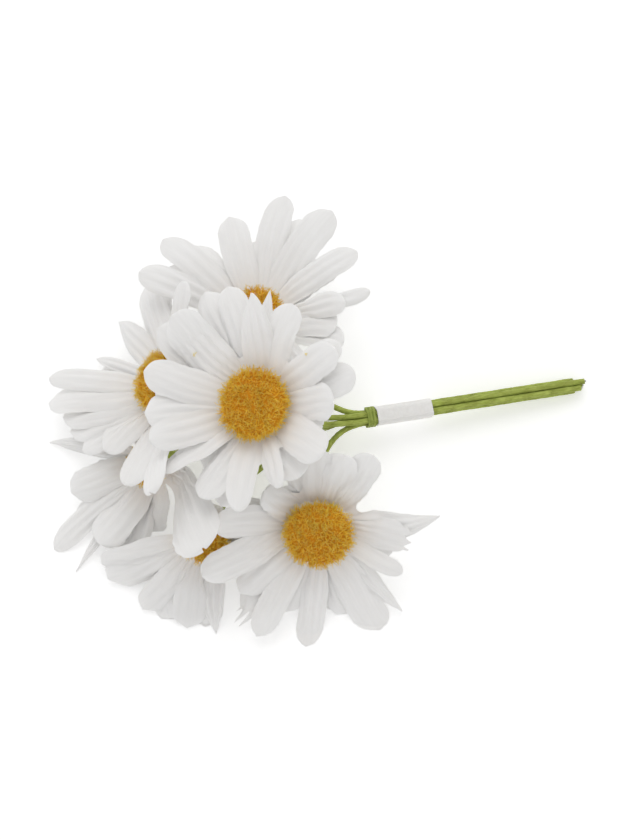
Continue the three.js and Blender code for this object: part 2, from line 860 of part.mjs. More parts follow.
// The bunch
const bunch = new THREE.Group();
bunch.position.set(SHIFT[0], SHIFT[1], 0);

function put(name, geometry, color, roughness, metalness = 0) {
  const material = new THREE.MeshStandardMaterial({ color, roughness, metalness });
  const mesh = new THREE.Mesh(geometry, material);
  mesh.name = name;
  bunch.add(mesh);
}

const petals = layPetals();
for (const bloom of BLOOMS) {
  const own = petals.filter((petal) => petal.bloom === bloom);
  put(`petals_${bloom.name}`, geometryFromSolid(bloomSolid(bloom, own)), WHITE, 0.85);
  put(`eye_${bloom.name}`, geometryFromSolid(eyeSolid(bloom)), GOLD, 0.95);
  put(`stem_${bloom.name}`, stemGeometry(bloom), GREEN, 0.7);
  put(`wire_${bloom.name}`, wireGeometry(bloom), STEEL, 0.35, 0.9);
}
put("band", sleeveGeometry(0, BAND_LENGTH, BAND_WALL, 24), PAPER, 0.8);
put("binding", sleeveGeometry(-SLEEVE_GAP - BINDING_LENGTH, -SLEEVE_GAP, BINDING_WALL, 20), DARK_GREEN, 0.7);

export default bunch;
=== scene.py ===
import math

import bpy
import numpy as np
from mathutils import Matrix, Vector


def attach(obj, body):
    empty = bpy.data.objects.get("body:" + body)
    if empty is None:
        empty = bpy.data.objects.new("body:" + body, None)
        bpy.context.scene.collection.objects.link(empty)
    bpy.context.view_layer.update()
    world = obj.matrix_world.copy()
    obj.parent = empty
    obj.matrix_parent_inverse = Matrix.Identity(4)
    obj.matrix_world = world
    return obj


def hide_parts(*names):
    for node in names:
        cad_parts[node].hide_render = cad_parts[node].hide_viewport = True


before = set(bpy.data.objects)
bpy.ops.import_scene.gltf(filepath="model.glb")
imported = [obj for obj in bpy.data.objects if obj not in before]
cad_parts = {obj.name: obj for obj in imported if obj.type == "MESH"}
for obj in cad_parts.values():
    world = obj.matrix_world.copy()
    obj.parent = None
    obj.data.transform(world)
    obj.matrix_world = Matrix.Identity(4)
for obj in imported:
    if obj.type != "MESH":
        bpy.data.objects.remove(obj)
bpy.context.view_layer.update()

# The looks of a bunch of six cloth daisies. Lengths are in millimetres until a mesh is made.
# The first part repeats how the solids are laid out, so that the finer pieces lie where the solids do.
PETAL_WIDTH = 7.2
PETAL_THICKNESS = 0.6
PETAL_ARCH = 0.1
PETAL_ROOT = 2.5
PETAL_GAP = 0.08
FREE_RADIUS = 11
FREE_SHARE = 0.45
LAYER_DROP = 0.8
LAYER_LEAN = 12
MOST_LIFT = 52
UNDER_LEAN = 6
HUB_SHARE = 0.9
HUB_TOP = 1.1
HUB_BOTTOM = -1.5
EYE_BASE = 1.4
EYE_FLARE = 0.28
EYE_DOME = 0.46
EYE_NECK = 0.7
STEM_RADIUS = 0.65
STEM_TOP = -1.8
CALYX_RADIUS = 1.9
CALYX_LENGTH = 6
STEM_PITCH = 1.38
BAND_LENGTH = 12.6
BAND_WALL = 0.3
BAND_CLEARANCE = 0.15
BINDING_LENGTH = 2
BINDING_WALL = 0.35
SLEEVE_GAP = 0.3
CLEAR = 1.5
FLOOR = 0.0
SHIFT = (-0.7, -3.9, 0.0)

# How the bunch is seen: the slant, the distance, the units to the millimetre where the depth is 0,
# the middle of the view in units, and the height of the middle
SLANT = 80
DISTANCE = 340
UNITS = 4.78
MIDDLE = (315, 420)
RAISE = 28


# A petal that shows has its tip at a spot, with a depth where it needs one, and a hidden one has its
# turn round the hub in degrees. wide and long are shares of the usual width and length.
# Its cloth alone follows swing, roll and rise, in degrees, and grow, blunt, torn and lap.
# A bloom's shy makes its bristles alone smaller, and fallen gives the places of loose bristles.
def at(*spot, **more):
    return dict(at=spot, **more)


def turn(degrees, **more):
    return dict(turn=degrees, **more)


BLOOMS = [
    dict(
        name="centre", spot=(259, 406), depth=0, lean=17, toward=160, length=24, eye=7.4, cup=22,
        slot=(-0.5, 2), reach=(9, 16), tail=-0.5, seed=101, fallen=[(302, 353), (196, 357)],
        front=[
            at(333, 402, wide=1.1), at(335, 349), at(292, 304), at(251, 293, wide=0.95, sharp=0.6),
            at(171, 316, wide=1.25), at(144, 371, wide=1.05), at(145, 413, wide=1.05),
            at(162, 470, wide=0.85, twist=50), at(200, 497), at(238, 511, wide=0.8, twist=-52),
            at(277, 488, wide=0.72, twist=38), at(323, 453, wide=1.15),
        ],
        back=[
            at(355, 373), at(339, 343, wide=0.9), at(270, 291, wide=0.75, sharp=0.9), at(228, 287),
            at(205, 292), at(158, 328), turn(172), at(150, 440), turn(230, long=0.8), at(221, 506),
            at(298, 478), at(318, 424, wide=0.9),
        ],
    ),
    dict(
        name="lower_right", spot=(318, 527), depth=-11, lean=22, toward=-88, length=23.5, eye=7.4, cup=20,
        slot=(-0.5, 0), reach=(10, 13), tail=-1.4, seed=138,
        front=[
            at(320, 452), at(345, 456), at(373, 456), at(266, 490, wide=0.9, twist=40),
            at(215, 523, wide=1.1), at(202, 575, wide=1.15), at(240, 593, wide=0.9),
            at(257, 636, wide=0.85), at(306, 644, -22, wide=0.82, rest=True),
            at(379, 627, -21.5, wide=1.15, rest=True), at(402, 573, wide=0.64),
            at(411, 541, wide=1.1, torn=0.07), at(440, 516, wide=1.15, sharp=1, twist=-25, bow=0.25),
        ],
        back=[
            at(236, 624, wide=1.3, sharp=0.5, torn=0.16), at(286, 612, wide=0.9),
            at(329, 611, wide=0.9, torn=0.06), at(402, 611, wide=0.9, sharp=0.9), at(350, 614),
            at(392, 552, wide=0.9),
            turn(110, long=0.8), turn(140, long=0.5), turn(165, long=0.8), turn(-160, long=0.8),
        ],
    ),
    dict(
        name="lower_left", spot=(153, 463), depth=-17, lean=38, toward=213, length=23.5, eye=5, cup=30,
        slot=(0, 1), reach=(9, 26), tail=0.2, seed=175, shy=0.86,
        front=[
            at(70, 494, -19, wide=1.05), at(52, 551, -22, wide=0.74), at(95, 543, -16, wide=1.2),
            at(207, 560, -3, wide=1.7, swing=13, lap=3.2, roll=-40, grow=1.08), at(200, 502, wide=1.1),
        ],
        back=[
            at(77, 572, -23, wide=0.6, sharp=1), at(46, 447, -25, wide=0.7, sharp=0.9, bow=0.15),
            at(96, 480, -22), at(74, 522, -22, wide=0.8), at(130, 560, rise=8),
            at(152, 530, wide=1.2, rise=8), turn(100), turn(130),
        ],
    ),
    dict(
        name="left", spot=(171, 385), depth=-14, lean=48, toward=158, length=23.5, eye=6.6, cup=22,
        slot=(0.5, 2), reach=(12, 16), tail=0.6, seed=212,
        front=[
            at(45, 375, -20, wide=0.72), at(45, 399, -20, wide=0.95), at(68, 429, -20, wide=1.05),
            at(119, 322, wide=0.95, sharp=0.5), at(146, 284, wide=1.1), at(150, 493, wide=1.2),
            at(127, 485, wide=1.2), at(104, 450, wide=1.1), at(81, 448, -17, wide=0.8),
            turn(60), turn(30), turn(0, long=0.8), turn(-35, long=0.7), turn(-70, long=0.8),
        ],
        back=[
            at(60, 414, -20), at(97, 359, wide=0.4, sharp=0.8, blunt=0.35), at(98, 377),
            at(160, 290), turn(75), turn(45), turn(15), turn(-20, long=0.7),
            turn(-52, long=0.7), turn(-85, long=0.8),
        ],
    ),
    dict(
        name="top", spot=(257, 317), depth=-17, lean=25, toward=88, length=24, eye=5.6, cup=22,
        slot=(1, 1), reach=(8, 10), tail=-1.7, seed=249,
        front=[
            at(285, 196, wide=0.87), at(229, 217), at(163, 239, wide=0.95), at(139, 272, wide=0.95),
            at(332, 211), at(357, 251, wide=0.8), at(370, 291, wide=0.48), at(345, 302, wide=0.85),
            at(337, 322), turn(205), turn(240), turn(275), turn(305),
        ],
        back=[
            at(255, 242), at(300, 219, wide=0.9), at(194, 246, wide=0.9), at(168, 268, wide=0.9),
            at(335, 262), at(344, 341), turn(190), turn(220), turn(258), turn(290),
        ],
    ),
    dict(
        name="bottom", spot=(206.5, 534.5), depth=-12.5, lean=26, toward=-105, length=20.5, eye=5.2, cup=12,
        slot=(0.5, 0), reach=(11, 18), tail=0.5, seed=286,
        front=[
            at(108, 579, wide=1.15), at(143, 609), at(161, 619),
            at(187, 628, wide=1.05), at(206, 627), at(104, 562, -19),
            turn(155, long=0.8), turn(115, long=0.55), turn(-35),
        ],
        back=[
            at(134, 573), at(100, 571, wide=0.8, sharp=0.9, torn=0.1), at(152, 612, torn=0.07),
            at(176, 622, torn=0.06), at(216, 634, sharp=0.9), turn(-50), turn(-5, long=0.8),
            turn(100, long=0.6), turn(145, long=0.6),
        ],
    ),
]

rad = math.radians
SIN = math.sin(rad(SLANT))
COS = math.cos(rad(SLANT))


def vec(*v):
    return np.array(v, float)


def unit(v):
    return v / np.linalg.norm(v)


def turned(v):
    """A direction given as right, up and near in the view, in the part's own axes."""
    return vec(v[0], v[1] * SIN - v[2] * COS, v[1] * COS + v[2] * SIN)


def place(x, y, depth):
    """The point in millimetres that is seen at a spot, at a depth, which grows towards the viewer."""
    k = (DISTANCE - depth) / (UNITS * DISTANCE)
    return turned(((x - MIDDLE[0]) * k, (MIDDLE[1] - y) * k, depth)) + vec(0, 0, RAISE)


def place_at_height(x, y, height):
    a, b = place(x, y, 0), place(x, y, 1)
    return place(x, y, (height - a[2]) / (b[2] - a[2]))


def angles(count):
    return 2 * math.pi * np.arange(count) / count


def seeded(seed):
    """A function that draws values between -1 and 1, in the same order each time."""
    state = [seed * 7919]

    def draw():
        state[0] = (state[0] * 16807) % 2147483647
        return state[0] / 2147483647 * 2 - 1

    return draw


LOWEST_STEM = FLOOR + STEM_RADIUS
ROW = STEM_PITCH * math.sqrt(0.75)
ENTRY = place(376, 415.8, -21.5)
TAIL = place_at_height(580.5, 384.2, LOWEST_STEM + ROW + 0.02)
ALONG = unit(TAIL - ENTRY)
ACROSS = unit(np.cross([0, 0, 1.0], ALONG))
OVER = np.cross(ALONG, ACROSS)
RUN = float(np.linalg.norm(TAIL - ENTRY))

for bloom in BLOOMS:
    lean, way = rad(bloom["lean"]), rad(bloom["toward"])
    out = turned((math.sin(lean) * math.cos(way), math.sin(lean) * math.sin(way), math.cos(lean)))
    right = unit(vec(1, 0, 0) - out * out[0])
    bloom.update(hub=place(*bloom["spot"], bloom["depth"]), right=right, up=np.cross(out, right), out=out)


# The form of a petal. t goes from 0 at its root to 1 at its tip.
def outline(t, sharp):
    rise = np.minimum(1, t / 0.48)
    f = 0.5 + 0.5 * rise * rise * (3 - 2 * rise)
    start = 0.8 - 0.4 * sharp
    q = np.clip((t - start) / (1 - start), 0, 1)
    return f * np.maximum(0, 1 - q ** (2.4 - 1.1 * sharp)) ** (0.5 + 0.45 * sharp)


def slope_at(petal, t):
    return petal["lift"] * np.minimum(1, np.maximum(0, t - 0.08) / 0.2) + petal["curl"] * t * t


STEPS = 24
KNOTS = np.arange(STEPS + 1) / STEPS


def spine(petal):
    """A petal's distance from the hub's axis and its height over the hub, from root to tip."""
    step = (petal["length"] - PETAL_ROOT) / STEPS
    slope = slope_at(petal, (np.arange(STEPS) + 0.5) / STEPS)
    r = PETAL_ROOT + np.concatenate([[0], np.cumsum(np.cos(slope) * step)])
    h = petal["drop"] + np.concatenate([[0], np.cumsum(np.sin(slope) * step)])
    return r, h


def aim(bloom, petal):
    """Turns and sizes a petal so that its tip comes to its spot."""
    hub, right, up, out = bloom["hub"], bloom["right"], bloom["up"], bloom["out"]
    spot = petal["at"]
    if len(spot) == 3:
        q = place(*spot) - hub
        r = math.hypot(q @ up, q @ right) - PETAL_ROOT
        h = q @ out - petal["drop"]
        petal["turn"] = math.atan2(q @ up, q @ right)
        petal["lift"] = min(rad(MOST_LIFT), math.atan2(h, max(0.5, r)) - petal["curl"] / 2)
        petal["length"] = PETAL_ROOT + math.hypot(h, r) * 1.02
        return
    near = place(spot[0], spot[1], 0)
    deep = place(spot[0], spot[1], 1) - near
    for _ in range(5):
        r, h = spine(petal)
        z = (h[STEPS] - (near - hub) @ out) / (deep @ out)
        q = near + deep * z - hub
        want = math.hypot(q @ up, q @ right)
        petal["turn"] = math.atan2(q @ up, q @ right)
        length = petal["length"] + want - r[STEPS]
        petal["length"] = min(max(length, bloom["length"] * 0.6), bloom["length"] * 1.3)


MOST_SECTOR = 1.2
LEAST_REACH = 0.5


def blade(petal, t, blunt=1.0, lap=0.0):
    """A petal's middle line at places t along it, its axes there and its reach to either side."""
    bloom = petal["bloom"]
    hub, right, up, out = bloom["hub"], bloom["right"], bloom["up"], bloom["out"]
    radial = right * math.cos(petal["turn"]) + up * math.sin(petal["turn"])
    aside = np.cross(out, radial)
    r, h = spine(petal)
    r, h = np.interp(t, KNOTS, r), np.interp(t, KNOTS, h)
    slope = slope_at(petal, t)[:, None]
    twist = (petal["twist"] * t)[:, None]
    normal = out * np.cos(slope) - radial * np.sin(slope)
    side = aside * np.cos(twist) + normal * np.sin(twist)
    face = normal * np.cos(twist) - aside * np.sin(twist)
    sway = petal["sway"] * petal["length"] * (t * t - t)
    middle = hub + radial * r[:, None] + out * h[:, None] + aside * sway[:, None]
    half = petal["width"] / 2 * outline(np.minimum(t, blunt), petal["sharp"])
    spare = np.maximum(0, r - FREE_RADIUS) * FREE_SHARE - PETAL_GAP + lap
    before, after = (
        np.minimum(half, np.maximum(LEAST_REACH, r * math.tan(min(sector, MOST_SECTOR) / 2) + spare))
        for sector in (petal["before"], petal["after"])
    )
    return middle, side, face, before, after, r


def by_side(v, before, after):
    """Values over a petal's sheet, from one row for the side where v is negative and one for the other."""
    return np.where(v[None, :] < 0, before[:, None], after[:, None])


def arch_of(petal, t, v):
    """How far a petal's sheet sinks towards its edges."""
    return PETAL_ARCH * petal["width"] * v[None, :] ** 2 * np.minimum(1, t * 2)[:, None]


def sheet(petal, t, v, blunt=1.0):
    """Points of a petal's middle sheet, with v from -1 at one edge to 1 at the other."""
    middle, side, face, before, after, _ = blade(petal, t, blunt)
    reach = v[None, :] * by_side(v, before, after)
    arch = arch_of(petal, t, v)
    return middle[:, None] + side[:, None] * reach[..., None] - face[:, None] * arch[..., None]


PROBE_ROWS = np.arange(4, STEPS + 1, 2) / STEPS
PROBE_COLUMNS = np.linspace(-1, 1, 5)
SOLID_TIP = 0.985
CLOTH_LAP = 1.1


def probe(petal):
    """Points of a petal that stand for it in the search for room, the lowest ones raised to the floor."""
    p = sheet(petal, PROBE_ROWS, PROBE_COLUMNS, SOLID_TIP).reshape(-1, 3)
    petal["low"] = float(p[:, 2].min())
    p[:, 2] = np.maximum(p[:, 2], FLOOR + PETAL_THICKNESS / 2)
    return p


def petals_of(bloom):
    """A bloom's petals as they are before they are laid, with the sectors free to either side."""
    draw = seeded(bloom["seed"])
    petals = []
    for layer, rows in enumerate((bloom["front"], bloom["back"])):
        for i, row in enumerate(rows):
            j = [draw() for _ in range(7)]
            petal = dict(
                bloom=bloom,
                layer=layer,
                at=row.get("at"),
                rest=row.get("rest"),
                turn=rad(row.get("turn", 0)) + rad(5) * j[0],
                length=bloom["length"] * (1 + 0.05 * j[1]) * row.get("long", 1),
                width=PETAL_WIDTH * (1 + 0.06 * j[2]) * row.get("wide", 1),
                lift=rad(bloom["cup"] - LAYER_LEAN * layer) + rad(2 if i % 2 else -2) + rad(2.5) * j[3],
                curl=rad(-20) + rad(6) * j[4],
                twist=rad(row["twist"]) if "twist" in row else rad(14) * j[5],
                sway=row.get("bow", 0.14 * j[6]),
                sharp=row.get("sharp", 0.1 + 0.1 * j[0]),
                drop=-LAYER_DROP * layer + (0.1 if i % 2 else -0.1),
                swing=rad(row.get("swing", 0)),
                roll=rad(row.get("roll", 0)),
                rise=rad(row.get("rise", 0)),
                grow=row.get("grow", 1),
                blunt=row.get("blunt"),
                torn=row.get("torn", 0),
                lap=row.get("lap", CLOTH_LAP),
            )
            if petal["at"]:
                aim(bloom, petal)
            petals.append(petal)
    for petal in petals:
        petal["before"] = petal["after"] = math.pi
        for other in petals:
            if other is not petal and other["layer"] == petal["layer"]:
                apart = (other["turn"] - petal["turn"] + 4 * math.pi) % (2 * math.pi)
                petal["after"] = min(petal["after"], apart)
                petal["before"] = min(petal["before"], 2 * math.pi - apart)
    return petals


def around(bloom, radius, height, angle):
    """Points round a bloom's own axis, for arrays of radius, height and angle."""
    radius, height, angle = np.broadcast_arrays(radius, height, angle)
    flat = bloom["right"] * np.cos(angle)[..., None] + bloom["up"] * np.sin(angle)[..., None]
    return bloom["hub"] + flat * radius[..., None] + bloom["out"] * height[..., None]


def eye_points(bloom):
    """Points of an eye and of its hub's underside that stand for them in the search for room."""
    R = bloom["eye"]
    rings = ((R, 1.2, 14), (R, 3, 14), (R * 0.8, 4.6, 12), (R * 0.45, 5.6, 8), (0, 6.2, 1), (4.6, -0.8, 12))
    return np.vstack([around(bloom, r, h, angles(n)) for r, h, n in rings])


def stem_offset(bloom):
    """Where a stem lies beside the others in the binding."""
    a, b = bloom["slot"]
    return ACROSS * (a - 0.25) * STEM_PITCH + OVER * (b - 1) * ROW


def stem_route(bloom, count):
    """A stem's middle line from the hub to the binding."""
    start = bloom["hub"] + bloom["out"] * STEM_TOP
    end = ENTRY + ALONG * (-BINDING_LENGTH - 0.6) + stem_offset(bloom)
    p1 = start - bloom["out"] * bloom["reach"][0]
    p2 = end - ALONG * bloom["reach"][1]
    t = (np.arange(count + 1) / count)[:, None]
    u = 1 - t
    return start * u**3 + p1 * 3 * u * u * t + p2 * 3 * u * t * t + end * t**3


BOX = 3
SLACK = 1.4
FLOOR_ROOM = 1.2
STEM_PROBES = 60
TAIL_PROBES = 40
HIDDEN_RANK = 1000
LAYER_RANK = 500


def bends():
    """The ways to bend and shorten a petal, in the order in which they are tried."""
    yield 0, 1
    for k in range(1, 10):
        yield -6 * k, 1
        yield 6 * k, 1
    for shorter in (0.8, 0.62):
        for k in range(8):
            yield -8 * k, shorter
            yield 8 * k, shorter


def room_between(points, other, enough):
    """The least distance, or the first one under enough."""
    gap = np.sqrt(((other[:, None] - points[None]) ** 2).sum(-1)).ravel()
    near = gap < enough
    return gap[near.argmax()] if near.any() else gap.min()


def lay_petals():
    """Lays the petals one by one, the ones that show first, each bent until it is clear of the rest."""
    held = []
    for bloom in BLOOMS:
        run = np.arange(1, TAIL_PROBES + 1)[:, None] / TAIL_PROBES * RUN
        stem = np.vstack([stem_route(bloom, STEM_PROBES), ENTRY + stem_offset(bloom) + ALONG * run])
        for points, clear in ((eye_points(bloom), CLEAR), (stem, CLEAR + STEM_RADIUS - 0.2)):
            held.append((bloom, points, points.min(0) - BOX, points.max(0) + BOX, clear))
    petals = [petal for bloom in BLOOMS for petal in petals_of(bloom)]
    ranks = [(0 if p["at"] else HIDDEN_RANK) + p["layer"] * LAYER_RANK + i for i, p in enumerate(petals)]
    for i in sorted(range(len(petals)), key=lambda i: ranks[i]):
        petal = petals[i]
        bloom, lift, length = petal["bloom"], petal["lift"], petal["length"]
        most = rad(MOST_LIFT if petal["at"] or petal["layer"] == 0 else bloom["cup"] - UNDER_LEAN)
        best = None
        for bend, shorter in bends():
            petal["lift"] = min(most, lift + rad(bend))
            petal["length"] = length * shorter
            if petal["at"] and len(petal["at"]) == 2 and shorter == 1:
                aim(bloom, petal)
            points = probe(petal)
            low, high = points.min(0), points.max(0)
            room = math.inf if petal["rest"] else petal["low"] + FLOOR_ROOM
            for other, q, qlow, qhigh, clear in held:
                if other is bloom or room <= -SLACK or (qlow > high).any() or (qhigh < low).any():
                    continue
                room = min(room, room_between(points, q, clear - SLACK) - clear)
            if best is None or room > best[0]:
                best = (room, petal["lift"], petal["length"], petal["turn"])
            if room >= 0:
                break
        _, petal["lift"], petal["length"], petal["turn"] = best
        points = probe(petal)
        held.append((bloom, points, points.min(0) - BOX, points.max(0) + BOX, CLEAR))
    return petals


# Meshes
METRES = 0.001
LEAST_HEIGHT = 0.00002


class Soup:
    """Points and faces gathered from many closed shapes, with values and flat places for the materials."""

    def __init__(self, *values):
        self.points, self.faces, self.flat = [], [], []
        self.values = {name: [] for name in values}
        self.count = 0

    def add(self, points, faces, flat=None, **values):
        points = np.asarray(points, float).reshape(-1, 3)
        n = len(points)
        for group in faces:
            self.faces.extend((np.asarray(group) + self.count).tolist())
        self.points.append(points)
        self.flat.append(np.zeros((n, 2)) if flat is None else np.asarray(flat, float).reshape(-1, 2))
        for name, rows in self.values.items():
            rows.append(np.broadcast_to(np.ravel(values.get(name, 0.0)), n))
        self.count += n

    def piece(self, name, material, slot, nodes, sharp=None):
        points = (np.vstack(self.points) + SHIFT) * METRES
        points[:, 2] = np.maximum(points[:, 2], LEAST_HEIGHT)
        mesh = bpy.data.meshes.new(name)
        mesh.from_pydata(points.tolist(), [], self.faces)
        for key, rows in self.values.items():
            layer = mesh.attributes.new(key, "FLOAT", "POINT")
            layer.data.foreach_set("value", np.concatenate(rows).astype(np.float32))
        corners = np.zeros(len(mesh.loops), np.int32)
        mesh.loops.foreach_get("vertex_index", corners)
        layer = mesh.uv_layers.new(name="flat")
        layer.uv.foreach_set("vector", np.vstack(self.flat)[corners].astype(np.float32).ravel())
        mesh.shade_smooth()
        if sharp:
            mesh.set_sharp_from_angle(angle=rad(sharp))
        mesh.materials.append(material)
        piece = bpy.data.objects.new(name, mesh)
        bpy.context.scene.collection.objects.link(piece)
        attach(piece, "root")
        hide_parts(*nodes)


def grid_faces(rows, columns, joined=False):
    """Quads over a grid of points, the last column joined to the first if asked."""
    i, j = np.meshgrid(np.arange(rows - 1), np.arange(columns if joined else columns - 1), indexing="ij")
    k = (j + 1) % columns
    a, b = i * columns + j, i * columns + k
    return np.stack([a, b, b + columns, a + columns], -1).reshape(-1, 4)


def tube_faces(rows, columns):
    """The walls of a closed tube and its two ends."""
    last = columns * (rows - 1)
    ends = [np.arange(columns - 1, -1, -1)[None], np.arange(last, last + columns)[None]]
    return [grid_faces(rows, columns, True), *ends]


def sheet_faces(rows, columns):
    """The faces of a sheet of cloth, whose lower points follow its upper ones: both sides and the edge."""
    count = rows * columns
    top = grid_faces(rows, columns)
    index = np.arange(count).reshape(rows, columns)
    rim = np.concatenate([index[0], index[1:, -1], index[-1, -2::-1], index[-2:0:-1, 0]])
    ahead = np.roll(rim, -1)
    wall = np.stack([rim, ahead, ahead + count, rim + count], -1)
    return [top, top[:, ::-1] + count, wall[:, ::-1]]


def both_sides(values):
    """Values over a sheet, for its upper and its lower points."""
    return np.concatenate([values.ravel()] * 2)


def rounded(low, high, x):
    """From 0 at low to 1 at high, with soft ends."""
    x = np.clip((x - low) / (high - low), 0, 1)
    return x * x * (3 - 2 * x)


def wander(draw, x, waves=4, pace=1.0):
    """A smooth wandering value between about -1 and 1 along x."""
    total = 0
    for k in range(1, waves + 1):
        total = total + draw() / k**0.7 * np.sin(pace * k * x * 2 * math.pi + math.pi * draw())
    return total


FLAT_SHIFT = 40
ROWS = 38
COLUMNS = 16
CLOTH = 0.26
CLOTH_TILT = 0.2
RIDGE = 0.2
RIDGE_SPACING = 2.0
WAVE = 0.3
EDGE_DRIFT = 0.025
EDGE_JAG = 0.014
TORN_TIP = 0.94
NEAR_FLOOR = CLOTH / 2 + 0.03
# How far out past the hub's rim the painted warm shade and reflected light of the eye reach
PAINTED_SHADE_REACH = 6.5
ROUND_TIP = 0.25
ROUNDING = 0.3
FIBRES = 30
FIBRE_LENGTH = 0.35
FIBRE_THICKNESS = 0.045


def painted_shade_and_bounce_share(bloom, radius):
    """How much painted warm shade and light reflected from the golden eye the cloth takes, from 1 under the
    eye to 0 farther out.
    """
    return np.clip(1 - (radius - HUB_SHARE * bloom["eye"]) / PAINTED_SHADE_REACH, 0, 1) ** 2


def as_cloth(petal, tone):
    """Turns a laid petal into the one that its cloth follows. Tips that aren't sharp become rounder."""
    petal["turn"] += petal["swing"]
    petal["twist"] += petal["roll"]
    petal["lift"] += petal["rise"]
    petal["length"] *= petal["grow"]
    petal["sharp"] = petal["blunt"] or petal["sharp"] * (1 if petal["sharp"] > ROUND_TIP else ROUNDING)
    petal["tone"] = tone


def uneven(draw, t):
    """How wide a petal's cut edge makes it at places along it, as a share of its outline."""
    return 1 + EDGE_DRIFT * wander(draw, t, 5, 2) + EDGE_JAG * wander(draw, t, 4, 9)


def add_petal(soup, petal, draw):
    """One petal of cloth, pressed with ridges along it, with a waved edge."""
    s = np.linspace(0, 1, ROWS + 1)
    t = 1 - (1 - s) ** 1.5
    v = np.linspace(-1, 1, COLUMNS + 1)
    blunt = TORN_TIP if petal["torn"] else 1.0
    middle, side, face, before, after, r = blade(petal, np.minimum(t, 0.9995), blunt, petal["lap"])
    before = before * uneven(draw, t)
    after = after * uneven(draw, t)
    reach = v[None, :] * by_side(v, before, after)
    ridges = max(2, round(petal["width"] / RIDGE_SPACING)) + 0.5 * draw()
    depth = RIDGE * (1 + 0.35 * draw()) * rounded(0.1, 0.35, t) * (1 - rounded(0.72, 0.97, t))
    bow = 0.25 * wander(draw, t, 2, 0.5)
    relief = depth[:, None] * np.cos(math.pi * ridges * (v[None, :] + bow[:, None]) + math.pi * draw())
    edge = WAVE * rounded(0.25, 0.6, t) * wander(draw, t, 3, 0.9)
    other = WAVE * rounded(0.25, 0.6, t) * wander(draw, t, 3, 0.9)
    wave = by_side(v, edge, other) * v[None, :] ** 2
    wave = wave + (WAVE * 0.6 * rounded(0.2, 0.5, t) * wander(draw, t, 3, 0.8))[:, None]
    tilt = CLOTH_TILT * v[None, :] * (1 - rounded(0.3, 0.8, t))[:, None]
    height = relief - arch_of(petal, t, v) + wave + tilt
    ahead = np.gradient(middle, axis=0)
    ahead /= np.linalg.norm(ahead, axis=1, keepdims=True)
    tear = np.abs(np.sin(math.pi * (1.3 * v + 0.5 * draw()))) * 0.8 + 0.2 * wander(draw, v, 3)
    tear = petal["torn"] * petal["length"] * rounded(0.7, 1, t)[:, None] * tear[None, :]
    p = middle[:, None] + side[:, None] * reach[..., None] + face[:, None] * height[..., None]
    p = p - ahead[:, None] * tear[..., None]
    p[..., 2] = np.maximum(p[..., 2], FLOOR + NEAR_FLOOR)
    along = np.gradient(p, axis=0)
    over = np.gradient(p, axis=1)
    normal = np.cross(along, over)
    normal /= np.maximum(np.linalg.norm(normal, axis=-1, keepdims=True), 1e-9)
    thin = CLOTH / 2 * (1 - 0.35 * np.abs(v[None, :, None]) ** 6)
    radius = np.broadcast_to(r[:, None], reach.shape)
    soup.add(
        np.stack([p + normal * thin, p - normal * thin]),
        sheet_faces(ROWS + 1, COLUMNS + 1),
        both_sides(np.stack([radius, reach], -1) + FLAT_SHIFT * draw()),
        halo=both_sides(painted_shade_and_bounce_share(petal["bloom"], radius)),
        tone=petal["tone"],
    )
    return p, r


WEB_REACH = 3.2
WEB_WIDEST = 50
WEB_ROWS = 12
WEB_COLUMNS = 8
WEB_NOTCH = 1.5
WEB_THICKNESS = 0.16
WEB_START = 0.3
WEB_SINK = 0.06
WEB_SAG = 0.1
MOST_APART = 30


def at_radius(radius, radii, line):
    """Points of a line at distances from the hub's axis."""
    return np.stack([np.interp(radius, radii, line[:, k]) for k in range(3)], -1)


def add_web(soup, bloom, a, b, draw):
    """The uncut cloth between two neighbouring petals, with a notch where they part."""
    (p, p_radius, first), (q, q_radius, second) = a, b
    start, end = PETAL_ROOT + WEB_START, bloom["eye"] + WEB_REACH * (1 + 0.2 * draw())
    u = np.linspace(0, 1, WEB_COLUMNS + 1)[None]
    s = np.linspace(0, 1, WEB_ROWS + 1)[:, None]
    wide = np.linalg.norm(at_radius(end, p_radius, p[:, -1]) - at_radius(end, q_radius, q[:, 0]))
    radius = start + (end - min(WEB_NOTCH, wide * 0.4) * np.sin(math.pi * u) - start) * s
    one = at_radius(radius, p_radius, p[:, -2])
    two = at_radius(radius, q_radius, q[:, 1])
    sag = WEB_SINK + WEB_SAG * s * np.sin(math.pi * u) ** 2
    points = one * (1 - u[..., None]) + two * u[..., None] - bloom["out"] * sag[..., None]
    points[..., 2] = np.maximum(points[..., 2], FLOOR + 0.12)
    thin = bloom["out"] * WEB_THICKNESS / 2
    soup.add(
        np.stack([points + thin, points - thin]),
        sheet_faces(*points.shape[:2]),
        both_sides(np.stack([radius, u * wide + 0 * s], -1) + FLAT_SHIFT * draw()),
        halo=both_sides(painted_shade_and_bounce_share(bloom, radius)),
        tone=both_sides(first["tone"] * (1 - u) + second["tone"] * u + 0 * s),
    )


def add_webs(soup, bloom, sheets, draw):
    """Cloth between those neighbours in a layer that lie near each other."""
    for layer in (0, 1):
        row = [item for item in sheets if item[2]["layer"] == layer]
        row.sort(key=lambda item: item[2]["turn"] % (2 * math.pi))
        for a, b in zip(row, row[1:] + row[:1]):
            apart = (b[2]["turn"] - a[2]["turn"]) % (2 * math.pi)
            if apart < rad(WEB_WIDEST) and abs(a[2]["lift"] - b[2]["lift"]) < rad(MOST_APART):
                add_web(soup, bloom, a, b, draw)


